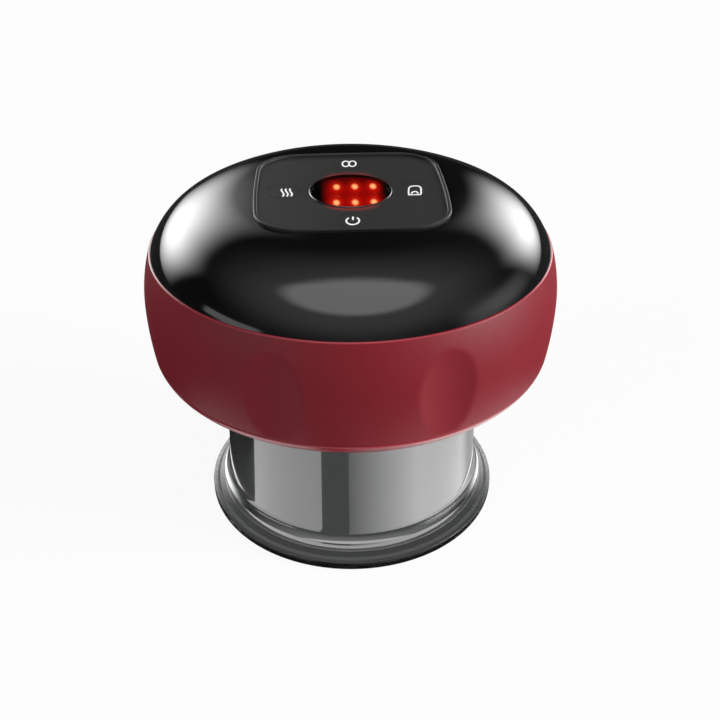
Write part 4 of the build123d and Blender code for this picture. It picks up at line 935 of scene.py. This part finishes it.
studio = {
    "floorSize": 6.0,  # in metres
    "floorDrop": 0.1, "floorColour": (0.9, 0.9, 0.9, 1), "floorLift": 0.93, "glossFloor": 0.05,
    "fill": 0.09, "glossFill": 0.01,
}
lampLook = {  # azimuth from +Y towards +X and elevation in degrees, half width and height, softness 0 to 1, strength
    "keyRight": (105, 16, 22, 22, 0.6, 20.0),
    "frontFill": (234, 20, 24, 26, 0.8, 5.2),
    "overhead": (180, 70, 40, 40, 1.0, 0.3),
}
glossLook = {  # the same, for what polished surfaces mirror
    "rearLeft": (-38, 18, 33, 25, 1.0, 10.0),
    "rearRight": (42, 17, 28, 23, 1.0, 9.5),
    "leftStrip": (-112, 9, 20, 4, 0.3, 1.5),
    "rightFill": (95, 12, 34, 16, 0.9, 0.8),
    "frontStrip": (180, -2, 62, 2, 0.5, 2.5),
}
discLook = {  # azimuth, elevation, radius, edge and strength, in polished surfaces only
    "disc": (174, 77, 31, 9, 2.1),
    "discHaze": (176, 68, 70, 44, 0.62),
}
cameraLook = {  # in mm, but for the place and the nearest depth, in metres, and the turn, in degrees
    "lens": 50, "sensor": 36, "nearest": 0.01, "place": (-0.00821, -0.19583, 0.1593), "turn": (57.31, 0, -2.99),
}


def direction(azimuth, elevation):
    a, e = math.radians(azimuth), math.radians(elevation)
    return Vector((math.sin(a) * math.cos(e), math.cos(a) * math.cos(e), math.sin(e)))


def dotWith(tree, vector, other):
    return addNode(tree, "ShaderNodeVectorMath", {0: vector, 1: other}, operation="DOT_PRODUCT").outputs["Value"]


def softBoxes(tree, look, boxes, total):
    # adds square lights with soft edges to a total
    for azimuth, elevation, halfWidth, halfHeight, softness, strength in boxes.values():
        middle = direction(azimuth, elevation)
        right = direction(azimuth + 90, 0)
        ahead = dotWith(tree, look, middle)
        mask = calc(tree, "GREATER_THAN", ahead, 0.0)
        for axis, half in ((right, halfWidth), (right.cross(middle), halfHeight)):
            aside = calc(tree, "ABSOLUTE", calc(tree, "DIVIDE", dotWith(tree, look, axis), ahead))
            reach = math.tan(math.radians(half))
            mask = calc(tree, "MULTIPLY", mask, smoothMask(tree, aside, reach * (1 - softness), reach))
        total = calc(tree, "MULTIPLY_ADD", mask, strength, total)
    return total


def buildWorld():
    scene.world = bpy.data.worlds.new("studio")
    scene.world.use_nodes = True
    tree = scene.world.node_tree
    ray = addNode(tree, "ShaderNodeLightPath").outputs
    look = addNode(tree, "ShaderNodeTexCoord").outputs["Generated"]
    lamps = softBoxes(tree, look, lampLook, studio["fill"])
    gloss = softBoxes(tree, look, glossLook, studio["glossFill"])
    for azimuth, elevation, radius, edge, strength in discLook.values():
        angle = calc(tree, "ARCCOSINE", dotWith(tree, look, direction(azimuth, elevation)))
        mask = smoothMask(tree, angle, math.radians(radius - edge), math.radians(radius))
        gloss = calc(tree, "MULTIPLY_ADD", mask, strength, gloss)
    sent = ray["Is Transmission Ray"]
    inner = calc(tree, "GREATER_THAN", ray["Glossy Depth"], 0.5)  # mirrored inside clear plastic
    white = calc(tree, "MAXIMUM", ray["Is Camera Ray"], calc(tree, "SUBTRACT", sent, inner))
    mirrored = calc(tree, "MAXIMUM", ray["Is Glossy Ray"], calc(tree, "MULTIPLY", sent, inner))
    total = lamps
    for branch, chosen in ((gloss, mirrored), (1.0, white)):
        pick = addNode(tree, "ShaderNodeMix", {"Factor": chosen, "A": total, "B": branch}, data_type="FLOAT")
        total = pick.outputs["Result"]
    feed(tree, tree.nodes["Background"], {"Strength": total, "Color": (1, 1, 1, 1)})


def stageMaterial(name):
    # a material with nothing in it but its output
    material, tree, _ = newMaterial(name)
    tree.nodes.clear()
    return material, tree, addNode(tree, "ShaderNodeOutputMaterial")


def mixShaders(tree, factor, first, second):
    return addNode(tree, "ShaderNodeMixShader", {0: factor, 1: first.outputs[0], 2: second.outputs[0]})


def stagePiece(name, mesh, material):
    piece = newObject(name, mesh)
    mesh.materials.append(material)


def buildFloor():
    look = studio
    mesh = bpy.data.meshes.new("floor")
    corners = [(x, y, -look["floorDrop"] * mm) for x, y in rectangle(look["floorSize"], look["floorSize"])]
    mesh.from_pydata(corners, [], [(0, 1, 2, 3)])
    material, tree, out = stageMaterial("floorPaper")
    ray = addNode(tree, "ShaderNodeLightPath").outputs
    shades = {"Factor": ray["Is Glossy Ray"], "A": look["floorColour"], "B": (look["glossFloor"],) * 3 + (1,)}
    colour = addNode(tree, "ShaderNodeMix", shades, data_type="RGBA").outputs["Result"]
    seen = calc(tree, "MAXIMUM", ray["Is Camera Ray"], ray["Is Transmission Ray"])
    upper = mixShaders(tree, calc(tree, "MULTIPLY", seen, look["floorLift"]),
                       addNode(tree, "ShaderNodeBsdfDiffuse", {"Color": colour}),
                       addNode(tree, "ShaderNodeEmission", {"Strength": 1.0}))
    below = addNode(tree, "ShaderNodeNewGeometry").outputs["Backfacing"]  # from below, the floor lets the view through
    both = mixShaders(tree, below, upper, addNode(tree, "ShaderNodeBsdfTransparent"))
    feed(tree, out, {"Surface": both.outputs[0]})
    stagePiece("floor", mesh, material)


# Light cards that lie round the cup and show only in polished surfaces

cardLook = {
    "start": 36.0, "reach": 56.0, "rows": 12, "cupRadius": 29.5,
    "leftBand": (-51, -15), "rightBand": (-3, 84),  # degrees round the cup from the front
    "leftGlow": ((0.0, 1.6), (1.0, 1.35)),  # share of the band, and strength there
    "rightGlow": ((0.0, 0.45), (0.18, 1.6), (0.36, 2.7), (0.7, 1.9), (0.76, 1.1), (0.8, 0.7), (1.0, 0.4)),
    "footLine": ((32.7, 2.5), (33.5, 2.5)), "footGlow": ((0.0, 2.0), (1.0, 2.0)), "footSteps": 180,
}


def lightCard(name, band, glow):
    # a fan of rays that leave the cup's wall: one angle round the cup is one line of the card
    look = cardLook
    first, last = band
    count, rows = last - first, look["rows"]
    points, faces, marks = [], [], []
    for step in range(count + 1):
        angle = math.radians(first + step)
        for row in range(rows + 1):
            run = look["reach"] * row / rows
            x = look["cupRadius"] * math.sin(angle) + run * math.sin(2 * angle)
            y = -look["cupRadius"] * math.cos(angle) - run * math.cos(2 * angle)
            stretch = max(1.0, look["start"] / math.hypot(x, y))
            points.append((x * stretch * mm, y * stretch * mm, 0.0))
            marks.append(step / count)
    for step in range(count):
        for row in range(rows):
            corner = step * (rows + 1) + row
            faces.append((corner, corner + rows + 1, corner + rows + 2, corner + 1))
    mesh = bpy.data.meshes.new(name)
    mesh.from_pydata(points, [], faces)
    mesh.attributes.new("across", "FLOAT", "POINT").data.foreach_set("value", marks)
    stagePiece(name, mesh, cardGlow(name, glow))


def footCard():
    # a thin bright line round the foot of the cup
    work = bmesh.new()
    steps = cardLook["footSteps"]
    rings = [[work.verts.new(turnedPoint(radius, height, 2 * math.pi * step / steps)) for step in range(steps)]
             for radius, height in cardLook["footLine"]]
    joinRings(work, rings, closed=False)
    stagePiece("footCard", meshFrom(work, "footCard"), cardGlow("footCard", cardLook["footGlow"]))


def cardGlow(name, glow):
    # a finish that glows for mirrored rays alone
    material, tree, out = stageMaterial(name + "Glow")
    across = addNode(tree, "ShaderNodeAttribute", attribute_name="across")
    curve = addNode(tree, "ShaderNodeFloatCurve", {"Value": across.outputs["Fac"]})
    peak = max(strength for _, strength in glow)
    line = curve.mapping.curves[0]
    while len(line.points) < len(glow):
        line.points.new(0.5, 0.5)
    for point, (place, strength) in zip(line.points, glow):
        point.location = (place, strength / peak)
        point.handle_type = "VECTOR"
    curve.mapping.update()
    shine = addNode(tree, "ShaderNodeEmission", {"Strength": calc(tree, "MULTIPLY", curve.outputs["Value"], peak)})
    clear = addNode(tree, "ShaderNodeBsdfTransparent")
    mirrored = addNode(tree, "ShaderNodeLightPath").outputs["Is Glossy Ray"]
    feed(tree, out, {"Surface": mixShaders(tree, mirrored, clear, shine).outputs[0]})
    return material


def buildCamera():
    look = cameraLook
    lens = bpy.data.cameras.new("camera")
    lens.lens, lens.sensor_width, lens.clip_start = look["lens"], look["sensor"], look["nearest"]
    camera = newObject("camera", lens)
    camera.location = look["place"]
    camera.rotation_euler = [math.radians(angle) for angle in look["turn"]]
    scene.camera = camera


buildWorld()
buildFloor()
lightCard("leftCard", cardLook["leftBand"], cardLook["leftGlow"])
lightCard("rightCard", cardLook["rightBand"], cardLook["rightGlow"])
footCard()
buildCamera()
scene.view_settings.view_transform = "Standard"
print("studio ready")
